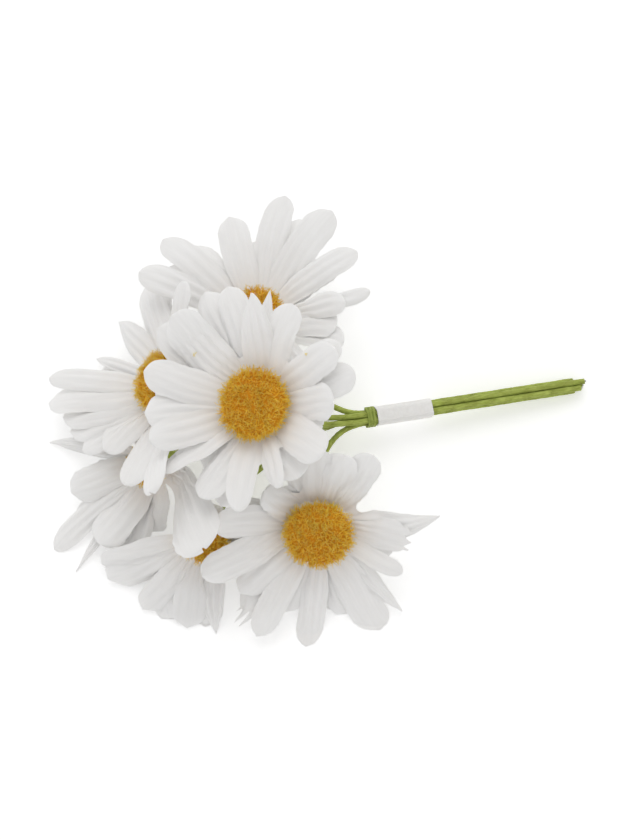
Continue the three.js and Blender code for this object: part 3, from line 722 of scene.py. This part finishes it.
def add_fibres(soup, p, draw):
    """Frayed threads along the edge of a petal's sheet p."""
    for _ in range(FIBRES):
        i = int((draw() * 0.5 + 0.5) * (ROWS - 8)) + 7
        a, b = (p[i, -1], p[i, -3]) if draw() > 0 else (p[i, 0], p[i, 2])
        way = unit(a - b + vec(draw(), draw(), draw()) * 0.3 + (p[i] - p[i - 1]).mean(0) * draw() * 2)
        bend = vec(draw(), draw(), draw()) * 0.25
        length = FIBRE_LENGTH + FIBRE_LENGTH * abs(draw())
        add_hair(soup, a - way * 0.15, way, length, FIBRE_THICKNESS, bend, 2)


HAIR_SIDES = 3
# A slanting direction, from which the sides of threads and stems are found
ASLANT = vec(0.31, 0.22, 0.92)


def ways_round(side, other, sides):
    """Unit steps from a line to the corners of a tube round it."""
    angle = angles(sides)
    return side[..., None, :] * np.cos(angle)[:, None] + other[..., None, :] * np.sin(angle)[:, None]


def add_hair(soup, root, way, length, thick, bend, segments, start=0.0, **values):
    """A thin tapered thread, bent aside towards its tip, coloured from start to its tip as a bristle is,
    from the painted shade deep in the pile to its bright tip.
    """
    side = unit(np.cross(way, ASLANT))
    s = np.arange(segments + 1) / segments
    line = root + way * (length * s)[:, None] + bend * (length * s * s)[:, None]
    ring = ways_round(side, np.cross(way, side), HAIR_SIDES)
    points = line[:, None] + ring * (thick * (1 - 0.65 * s))[:, None, None]
    last = segments * HAIR_SIDES
    soup.add(
        points,
        [grid_faces(segments + 1, HAIR_SIDES, True)[:, ::-1], [[2, 1, 0]], [[last, last + 1, last + 2]]],
        depth=np.repeat(start + (1 - start) * s, HAIR_SIDES),
        **values,
    )


HUB_SIDES = 96


def add_hub(soup, bloom):
    """The pleated root of the petals, under the eye."""
    rim = bloom["eye"] * HUB_SHARE
    profile = (
        (0.02, HUB_TOP), (0.5, HUB_TOP), (0.86, 0.8), (1, 0.1), (0.95, -0.55), (0.6, -1.1),
        (0.02, HUB_BOTTOM),
    )
    angle = angles(HUB_SIDES)
    pleat = 0.14 * np.cos(24 * angle + 0.6 * np.sin(3 * angle))
    rings = [around(bloom, rim * share, height + pleat * share, angle) for share, height in profile]
    faces = [face[:, ::-1] for face in tube_faces(len(profile), HUB_SIDES)]
    radius = np.array([share for share, _ in profile]) * rim
    flat = np.stack(np.broadcast_arrays(radius[:, None], angle[None] * 4), -1)
    # The hub under the eye takes the full painted warm shade and reflected light.
    soup.add(np.array(rings), faces, flat, halo=1)


def seen_at(p):
    """Where points in millimetres are seen, and their depth: the reverse of place."""
    q = p - vec(0, 0, RAISE)
    y = q[..., 1] * SIN + q[..., 2] * COS
    depth = q[..., 2] * SIN - q[..., 1] * COS
    k = (DISTANCE - depth) / (UNITS * DISTANCE)
    return np.stack([q[..., 0] / k + MIDDLE[0], MIDDLE[1] - y / k, depth], -1)


SPOT_SIZE = 5


def surface_under(sheets, x, y):
    """The uppermost point of the petals that is seen near a spot."""
    points = np.vstack([p.reshape(-1, 3) for p, _, _ in sheets])
    seen = seen_at(points)
    near = np.hypot(seen[:, 0] - x, seen[:, 1] - y) < SPOT_SIZE
    return points[near][seen[near, 2].argmax()]


def build_blooms(petals, cloth):
    for bloom in BLOOMS:
        draw = seeded(bloom["seed"] + 7)
        soup = Soup("halo", "tone")
        add_hub(soup, bloom)
        sheets = []
        for petal in petals:
            if petal["bloom"] is bloom:
                as_cloth(petal, draw())
                p, radius = add_petal(soup, petal, draw)
                sheets.append((p, radius, petal))
                add_fibres(soup, p, draw)
        add_webs(soup, bloom, sheets, draw)
        bloom["specks"] = [surface_under(sheets, *spot) for spot in bloom.get("fallen", [])]
        soup.piece(f"cloth_{bloom['name']}", cloth, "petal_cloth", [f"petals_{bloom['name']}"], sharp=60)


# Eyes
CORE_DEPTH = 0.7
CORE_SIDES = 72
HAIRS_PER_AREA = 10
HAIR_SEGMENTS = 5
HAIR_LENGTH = 1.85
HAIR_THICKNESS = 0.095
HAIR_CURL = 0.26
HAIR_ROOT = 0.2
HAIR_STAND = 0.42
HAIR_TUFT = 0.3
HAIR_SPREAD = 0.9
GOLDEN_ANGLE = math.pi * (3 - math.sqrt(5))
FALLEN_HAIRS = 4
FALLEN_LENGTH = 0.9
FALLEN_THICKNESS = 0.06


def eye_profile(R, inset):
    """Radius and height from the neck, out round the rim and over the dome to the top."""
    rim = EYE_BASE + EYE_FLARE * R
    under = np.linspace(0, 1, 9)[:-1]
    over = np.linspace(0, math.pi / 2, 33)
    radius = np.concatenate([R * (EYE_NECK + (1 - EYE_NECK) * under**0.7), R * np.cos(over) ** 0.8])
    height = np.concatenate([EYE_BASE + EYE_FLARE * R * under, rim + EYE_DOME * R * np.sin(over)])
    middle = rim * 0.9
    return radius * (1 - inset / R), middle + (height - middle) * (1 - inset / (R * 0.62))


def add_core(soup, bloom, R):
    """The lumpy ground that the bristles stand in."""
    radius, height = eye_profile(R, CORE_DEPTH)
    radius[-1] = 0.02
    angle = angles(CORE_SIDES)
    level = np.arange(len(radius))[:, None] / len(radius)
    lump = 0.12 * np.sin(11 * angle[None] + 23 * level) + 0.12 * np.sin(17 * angle[None] - 31 * level)
    swell = 1 + lump * np.minimum(1, radius[:, None]) / bloom["eye"]
    points = around(bloom, radius[:, None] * swell, height[:, None], angle[None])
    # The core takes the darkest colour of the ramp: painted shade deep in the pile.
    soup.add(points, tube_faces(len(radius), CORE_SIDES))


def hair_roots(bloom, R, random):
    """Where an eye's bristles begin, evenly over its core, with the ways out of it and the radii there."""
    radius, height = eye_profile(R, CORE_DEPTH)
    dr, dh = np.diff(radius), np.diff(height)
    area = np.concatenate([[0], np.cumsum(np.hypot(dr, dh) * math.pi * (radius[1:] + radius[:-1]))])
    count = int(area[-1] * HAIRS_PER_AREA)
    k = np.arange(count)
    share = (k + random.uniform(0, 1, count)) / count * area[-1]
    r, h = np.interp(share, area, radius), np.interp(share, area, height)
    i = np.clip(np.searchsorted(area, share) - 1, 0, len(dr) - 1)
    angle = GOLDEN_ANGLE * k + random.uniform(-0.1, 0.1, count)
    radial = np.cos(angle)[:, None] * bloom["right"] + np.sin(angle)[:, None] * bloom["up"]
    steep = np.hypot(dr, dh)[i] + 1e-9
    normal = radial * (dh[i] / steep)[:, None] - (dr[i] / steep)[:, None] * bloom["out"]
    root = bloom["hub"] + radial * r[:, None] + h[:, None] * bloom["out"] - normal * HAIR_ROOT
    return root, normal, r


def add_bristles(soup, bloom, R, random):
    """Thin bent bristles that stand out all over an eye, in tufts."""
    root, normal, r = hair_roots(bloom, R, random)
    count = len(root)
    x, y, z = root.T
    tuft = np.stack([np.sin(x * 2.1 + y), np.sin(y * 2.3 + z), np.sin(z * 2 + x)], -1)
    way = normal * HAIR_STAND + tuft * HAIR_TUFT + random.uniform(-HAIR_SPREAD, HAIR_SPREAD, (count, 3))
    way /= np.linalg.norm(way, axis=1, keepdims=True)
    side = np.cross(way, ASLANT)
    side /= np.linalg.norm(side, axis=1, keepdims=True)
    other = np.cross(way, side)
    length = HAIR_LENGTH * (1 + random.uniform(-0.3, 0.3, count)) * (0.85 + 0.15 * r / R)
    s = np.arange(HAIR_SEGMENTS + 1) / HAIR_SEGMENTS
    begin = random.uniform(0, 2 * math.pi, count)[:, None]
    wind = begin + random.uniform(3, 8, count)[:, None] * s * random.choice([-1, 1], count)[:, None]
    curl = HAIR_CURL * random.uniform(0.5, 1.3, count)[:, None]
    line = (
        root[:, None] + way[:, None] * (length[:, None] * s)[..., None]
        + side[:, None] * (curl * (np.cos(wind) - np.cos(begin)))[..., None]
        + other[:, None] * (curl * (np.sin(wind) - np.sin(begin)))[..., None]
    )
    thick = HAIR_THICKNESS * (1 - 0.5 * s)
    points = line[:, :, None] + ways_round(side, other, HAIR_SIDES)[:, None] * thick[None, :, None, None]
    size = (HAIR_SEGMENTS + 1) * HAIR_SIDES
    base = (np.arange(count) * size)[:, None, None]
    walls = grid_faces(HAIR_SEGMENTS + 1, HAIR_SIDES, True)[:, ::-1][None] + base
    ends = np.array([[2, 1, 0], [size - 3, size - 2, size - 1]])[None] + base
    soup.add(
        points,
        [walls.reshape(-1, 4), ends.reshape(-1, 3)],
        depth=np.tile(np.repeat(s, HAIR_SIDES), count),
        tone=np.repeat(random.uniform(-1, 1, count), size),
    )


def add_fallen(soup, bloom):
    """A few loose bristles that lie on the petals."""
    draw = seeded(bloom["seed"] + 71)
    for spot in bloom["specks"]:
        for _ in range(FALLEN_HAIRS):
            way = unit(vec(draw(), draw(), 0.15 * draw()))
            root = spot + bloom["out"] * 0.2 + vec(draw(), draw(), 0) * 0.25 - way * 0.4
            bend = vec(draw(), draw(), 0) * 0.4
            # Loose bristles start near the bright end, out of the pile's painted shade.
            add_hair(soup, root, way, FALLEN_LENGTH, FALLEN_THICKNESS, bend, 4, 0.9, tone=-1)


def build_eye(bloom, pile):
    R = bloom["eye"] * bloom.get("shy", 1)
    soup = Soup("depth", "tone")
    add_core(soup, bloom, R)
    add_bristles(soup, bloom, R, np.random.default_rng(bloom["seed"]))
    add_fallen(soup, bloom)
    soup.piece(f"bristles_{bloom['name']}", pile, "eye_bristle", [f"eye_{bloom['name']}"])


# Stems, binding and band
STEM_SIDES = 20
STEM_ROWS = 150
TAIL_ROWS = 110
STEM_SHIFT = 30
TAPE_PITCH = 4.6
TAPE_STEP = 0.085
SLEEVE_SIDES = 120
SLEEVE_ROWS = 42
SLEEVE_TURNS = 3
SLEEVE_RADIUS = 2.4
SLEEVE_RAGGED = 0.1


def rings_along(route, sides):
    """Ways round a route at each of its points, carried round its bends without twisting."""
    ahead = np.gradient(route, axis=0)
    ahead /= np.linalg.norm(ahead, axis=1, keepdims=True)
    side = np.cross(ahead[0], ASLANT)
    rings = []
    for a in ahead:
        side = unit(side - a * (side @ a))
        rings.append(ways_round(side, np.cross(a, side), sides))
    return np.array(rings)


def build_stem(bloom, tape):
    """A stem wound with tape, thicker under its hub."""
    draw = seeded(bloom["seed"] + 53)
    run = np.linspace(-1.6, RUN + bloom["tail"], TAIL_ROWS)[:, None]
    route = np.vstack([stem_route(bloom, STEM_ROWS), ENTRY + stem_offset(bloom) + ALONG * run])
    length = np.concatenate([[0], np.cumsum(np.linalg.norm(np.diff(route, axis=0), axis=1))])
    rings = rings_along(route, STEM_SIDES)
    angle = angles(STEM_SIDES)
    near = np.maximum(0, 1 - length / CALYX_LENGTH)
    # Where each turn of tape lies: it steps the radius, and the tape's colour darkens just past each step
    # as painted shade.
    lap = (length[:, None] / TAPE_PITCH + angle[None] / (2 * math.pi) + draw()) % 1
    rough = 0.02 * np.sin(length[:, None] * 5.1 + 3 * angle[None] + wander(draw, length[:, None] / 9))
    sway = 0.03 * wander(draw, length / 14, 4)[:, None]
    radius = STEM_RADIUS - 0.02 + (CALYX_RADIUS - STEM_RADIUS) * (near * near)[:, None]
    radius = radius + TAPE_STEP * (np.minimum(lap * 7, 1) - 0.6 - 0.4 * lap) + rough + sway
    points = route[:, None] + rings * radius[..., None]
    flat = np.stack(np.broadcast_arrays(length[:, None], angle[None] * STEM_RADIUS), -1)
    soup = Soup("lap")
    soup.add(points, tube_faces(len(route), STEM_SIDES), flat + STEM_SHIFT * draw(), lap=lap)
    soup.piece(f"taped_stem_{bloom['name']}", tape, "stem_tape", [f"stem_{bloom['name']}"], sharp=50)


def build_sleeve(name, material, slot, node, start, end, wall, bulge, seed):
    """A sleeve drawn tight round the stems. bulge gives how far its outside stands out."""
    draw = seeded(seed)
    angle = angles(SLEEVE_SIDES)
    way = ACROSS * np.cos(angle)[:, None] + OVER * np.sin(angle)[:, None]
    spots = np.array([stem_offset(bloom) for bloom in BLOOMS])
    spots = spots[(spots @ way.T).argmax(0)]
    smooth = spots.copy()
    for _ in range(5):
        smooth = (np.roll(smooth, 1, 0) + smooth * 2 + np.roll(smooth, -1, 0)) / 4
    s = np.linspace(0, 1, SLEEVE_ROWS)
    hole = STEM_RADIUS + BAND_CLEARANCE
    outer, inner = [], []
    ragged = SLEEVE_RAGGED * wander(draw, angle / (2 * math.pi), 4)
    for share in s:
        run = start + (end - start) * share + ragged * (share - 0.5) * 2
        line = ENTRY + ALONG * run[:, None]
        outer.append(line + smooth + way * (hole + wall + bulge(share, angle))[:, None])
        inner.append(line + spots + way * hole)
    points = np.array(outer + inner[::-1])
    k = np.arange(SLEEVE_SIDES)
    ahead = (k + 1) % SLEEVE_SIDES
    last = SLEEVE_SIDES * (2 * SLEEVE_ROWS - 1)
    close = np.stack([k + last, ahead + last, ahead, k], -1)
    distance = np.concatenate([s, s[::-1]]) * (end - start)
    flat = np.stack(np.broadcast_arrays(distance[:, None], angle[None] * SLEEVE_RADIUS), -1)
    # Where each turn of the wrap lies; the binding tape darkens just past each edge with painted shade.
    lap = (s[:, None] * SLEEVE_TURNS + angle[None] / (2 * math.pi)) % 1
    faces = [grid_faces(2 * SLEEVE_ROWS, SLEEVE_SIDES, True), close]
    soup = Soup("lap")
    soup.add(points, faces, flat, lap=np.concatenate([lap, lap[::-1]]))
    soup.piece(name, material, slot, [node], sharp=50)


def paper_bulge(share, angle):
    """The seam and the wrinkles of the paper band."""
    seam = np.clip((angle - 1.9) / 0.05, 0, 1) * np.clip((3.4 - angle) / 0.6, 0, 1)
    wrinkle = 0.03 * np.sin(3 * angle + 9 * share) * np.sin(7 * share + 2 * angle)
    return 0.12 * seam + wrinkle - 0.05


def tape_bulge(share, angle):
    """The overlapping turns of the binding's tape."""
    lap = (share * SLEEVE_TURNS + angle / (2 * math.pi)) % 1
    return 0.12 * np.minimum(lap * 6, 1) * (1 - 0.4 * lap) - 0.05 + 0.03 * np.sin(5 * angle)


# Materials
class Nodes:
    """A material's nodes, made and joined by short calls."""

    def __init__(self, name, **settings):
        self.material = bpy.data.materials.new(name)
        self.material.use_nodes = True
        self.tree = self.material.node_tree
        self.shader = self.tree.nodes["Principled BSDF"]
        for key, value in settings.items():
            self.shader.inputs[key.replace("_", " ")].default_value = value

    def put(self, socket, value):
        if isinstance(value, bpy.types.NodeSocket):
            self.tree.links.new(value, socket)
        else:
            socket.default_value = value

    def node(self, kind, **inputs):
        made = self.tree.nodes.new(kind)
        for key, value in inputs.items():
            self.put(made.inputs[key], value)
        return made

    def value(self, name):
        made = self.tree.nodes.new("ShaderNodeAttribute")
        made.attribute_name = name
        return made.outputs["Fac"]

    def share(self, name):
        """A value between -1 and 1, as a share between 0 and 1."""
        return self.math("MULTIPLY_ADD", self.value(name), 0.5, 0.5)

    def flat(self, along, across):
        """Places along and across a sheet or tube, in millimetres times a scale."""
        made = self.tree.nodes.new("ShaderNodeUVMap")
        made.uv_map = "flat"
        return self.scaled(made.outputs["UV"], (along, across, 1))

    def place(self, scale):
        made = self.tree.nodes.new("ShaderNodeTexCoord")
        return self.scaled(made.outputs["Object"], (scale,) * 3)

    def scaled(self, vector, scale):
        return self.node("ShaderNodeMapping", Vector=vector, Scale=scale).outputs["Vector"]

    def noise(self, vector, detail=3.0):
        return self.node("ShaderNodeTexNoise", Vector=vector, Scale=1.0, Detail=detail).outputs["Fac"]

    def math(self, kind, *values):
        made = self.tree.nodes.new("ShaderNodeMath")
        made.operation = kind
        for socket, value in zip(made.inputs, values):
            self.put(socket, value)
        return made.outputs["Value"]

    def ramp(self, factor, *stops):
        made = self.node("ShaderNodeValToRGB", Fac=factor)
        elements = made.color_ramp.elements
        while len(elements) < len(stops):
            elements.new(0.5)
        for element, (position, color) in zip(elements, stops):
            element.position = position
            element.color = (*color, 1)
        return made.outputs["Color"]

    def multiply(self, factor, a, b):
        """Colour a times colour b, as far as factor says."""
        made = self.tree.nodes.new("ShaderNodeMix")
        made.data_type = "RGBA"
        made.blend_type = "MULTIPLY"
        self.put(made.inputs[0], factor)
        self.put(made.inputs[6], a)
        self.put(made.inputs[7], b if isinstance(b, bpy.types.NodeSocket) else (*b, 1))
        return made.outputs[2]

    def bump(self, height, distance, strength=1.0):
        made = self.node("ShaderNodeBump", Height=height, Distance=distance, Strength=strength)
        self.tree.links.new(made.outputs["Normal"], self.shader.inputs["Normal"])

    def color(self, socket):
        self.tree.links.new(socket, self.shader.inputs["Base Color"])


def petal_cloth():
    m = Nodes(
        "petal_cloth", Roughness=0.9, Specular_IOR_Level=0.15, Sheen_Weight=0.1, Sheen_Roughness=0.6,
        Subsurface_Weight=0.15, Subsurface_Radius=(1, 1, 0.95), Subsurface_Scale=0.001,
    )
    streak = m.noise(m.flat(0.12, 1.6), 4.0)
    cloud = m.noise(m.place(90), 2.0)
    base = m.ramp(streak, (0.25, (0.92, 0.913, 0.902)), (0.75, (0.962, 0.955, 0.945)))
    base = m.multiply(1.0, base, m.ramp(cloud, (0.3, (0.975, 0.97, 0.965)), (0.7, (1, 1, 1))))
    # Painted warm shade and reflected golden light of the eye, strongest next to it
    base = m.multiply(m.math("MULTIPLY", m.value("halo"), 0.4), base, (0.97, 0.90, 0.83))
    base = m.multiply(m.share("tone"), base, (0.965, 0.965, 0.965))
    m.color(base)
    thread = m.noise(m.flat(0.9, 9.0), 2.0)
    weave = m.noise(m.flat(8.0, 8.0), 1.0)
    m.bump(m.math("ADD", thread, weave), 0.00006, 0.5)
    return m.material


def eye_bristle():
    m = Nodes("eye_bristle", Roughness=0.8, Specular_IOR_Level=0.2)
    # Darker towards the roots and the core: painted shade deep in the pile, lightest at the tips.
    color = m.ramp(
        m.value("depth"),
        (0.0, (0.70, 0.33, 0.015)), (0.15, (0.96, 0.55, 0.03)), (0.6, (1.0, 0.74, 0.08)),
        (1.0, (1.0, 0.84, 0.22)),
    )
    color = m.multiply(m.share("tone"), color, (0.98, 0.88, 0.7))
    patch = m.ramp(m.noise(m.place(160), 3.0), (0.35, (1.0, 0.94, 0.88)), (0.65, (1, 1, 1)))
    m.color(m.multiply(1.0, color, patch))
    m.bump(m.noise(m.place(900), 2.0), 0.00008, 0.4)
    return m.material


def stem_tape():
    m = Nodes("stem_tape", Roughness=0.7, Specular_IOR_Level=0.3)
    color = m.ramp(m.noise(m.flat(0.5, 3.0), 4.0), (0.25, (0.29, 0.36, 0.05)), (0.75, (0.52, 0.60, 0.15)))
    blotch = m.ramp(m.noise(m.place(420), 4.0), (0.38, (0.85, 0.83, 0.76)), (0.6, (1.1, 1.1, 1.1)))
    # Darker just past the edge of each turn of tape: painted shade under the overlapping turn.
    edge = m.ramp(m.value("lap"), (0.0, (0.4, 0.42, 0.34)), (0.1, (0.9, 0.9, 0.88)), (1.0, (1, 1, 1)))
    m.color(m.multiply(1.0, m.multiply(1.0, color, blotch), edge))
    m.bump(m.noise(m.flat(2.0, 7.0), 4.0), 0.0002, 0.8)
    return m.material


def binding_tape():
    m = Nodes("binding_tape", Roughness=0.75, Specular_IOR_Level=0.3)
    color = m.ramp(m.noise(m.flat(2.0, 1.0), 4.0), (0.25, (0.21, 0.27, 0.04)), (0.75, (0.40, 0.47, 0.11)))
    # Darker just past the edge of each turn: painted shade under the overlapping turn.
    edge = m.ramp(m.value("lap"), (0.0, (0.4, 0.45, 0.35)), (0.15, (0.9, 0.9, 0.88)), (1.0, (1, 1, 1)))
    m.color(m.multiply(1.0, color, edge))
    m.bump(m.noise(m.flat(5.0, 4.0), 4.0), 0.00012, 0.7)
    return m.material


def band_paper():
    m = Nodes("band_paper", Roughness=0.85, Specular_IOR_Level=0.25)
    m.color(m.ramp(m.noise(m.flat(1.2, 2.0), 5.0), (0.3, (0.83, 0.815, 0.79)), (0.7, (0.89, 0.88, 0.86))))
    m.bump(m.noise(m.flat(0.8, 1.6), 5.0), 0.0002, 0.6)
    return m.material


def wire():
    m = Nodes("wire", Metallic=1.0, Roughness=0.35)
    drawn = m.noise(m.place(2500), 2.0)
    m.color(m.ramp(drawn, (0.3, (0.42, 0.42, 0.41)), (0.7, (0.58, 0.58, 0.57))))
    m.bump(drawn, 0.00002, 0.5)
    return m.material


def floor_paint():
    m = Nodes("floor_paint", Roughness=0.9, Specular_IOR_Level=0.1, Emission_Strength=0.28)
    m.shader.inputs["Emission Color"].default_value = (1, 1, 1, 1)
    m.color(m.ramp(m.noise(m.place(8), 2.0), (0.3, (0.93, 0.93, 0.93)), (0.7, (0.95, 0.95, 0.95))))
    return m.material


# The stage, the light and the camera
STAGE_SIDE = 4.0
STAGE_DROP = -0.0002
WORLD_LIGHT = 0.71
# Each lamp's name, place, size and power, in metres and watts
LAMPS = (
    ("key", vec(-0.1, 0.6, 0.9), 0.7, 2.2),
    ("fill", vec(0.1, -0.9, 0.5), 0.9, 0.2),
)
SENSOR = 36
VIEW_HEIGHT = 840


def build_stage():
    ends = ((-1, -1), (1, -1), (1, 1), (-1, 1))
    corners = [(x * STAGE_SIDE, y * STAGE_SIDE, STAGE_DROP) for x, y in ends]
    mesh = bpy.data.meshes.new("floor")
    mesh.from_pydata(corners, [], [(0, 1, 2, 3)])
    mesh.materials.append(floor_paint())
    floor = bpy.data.objects.new("floor", mesh)
    bpy.context.scene.collection.objects.link(floor)


def look(obj, spot, target, up=(0, 0, 1)):
    """Places a lamp or the camera at a spot and turns it to a target."""
    back = unit(spot - target)
    side = unit(np.cross(up, back))
    axes = Matrix(np.stack([side, np.cross(back, side), back], 1).tolist()).to_4x4()
    obj.matrix_world = Matrix.Translation(Vector(spot)) @ axes


def build_lights():
    world = bpy.data.worlds.new("studio")
    world.use_nodes = True
    background = world.node_tree.nodes["Background"]
    background.inputs["Color"].default_value = (1.0, 1.0, 1.0, 1)
    background.inputs["Strength"].default_value = WORLD_LIGHT
    bpy.context.scene.world = world
    target = vec(0, 0, 0.02)
    for name, spot, size, power in LAMPS:
        light = bpy.data.lights.new(name, "AREA")
        light.shape = "DISK"
        light.size = size
        light.energy = power
        lamp = bpy.data.objects.new(name, light)
        bpy.context.scene.collection.objects.link(lamp)
        look(lamp, spot, target)


def build_camera():
    data = bpy.data.cameras.new("camera")
    data.sensor_width = SENSOR
    data.lens = SENSOR * DISTANCE * UNITS / VIEW_HEIGHT
    data.clip_start = 0.01
    data.clip_end = 20
    camera = bpy.data.objects.new("camera", data)
    bpy.context.scene.collection.objects.link(camera)
    middle = vec(0, 0, RAISE) + vec(*SHIFT)
    look(camera, (middle + turned((0, 0, DISTANCE))) * METRES, middle * METRES, turned((0, 1, 0)))
    bpy.context.scene.camera = camera
    bpy.context.scene.view_settings.view_transform = "Standard"


build_blooms(lay_petals(), petal_cloth())
pile = eye_bristle()
tape = stem_tape()
steel = wire()
for bloom in BLOOMS:
    build_eye(bloom, pile)
    build_stem(bloom, tape)
    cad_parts[f"wire_{bloom['name']}"].material_slots[0].material = steel
build_sleeve(
    "paper_band", band_paper(), "band_paper", "band", 0, BAND_LENGTH, BAND_WALL, paper_bulge, seed=5,
)
build_sleeve(
    "wound_binding", binding_tape(), "binding_tape", "binding",
    -SLEEVE_GAP - BINDING_LENGTH, -SLEEVE_GAP, BINDING_WALL, tape_bulge, seed=9,
)
build_stage()
build_lights()
build_camera()
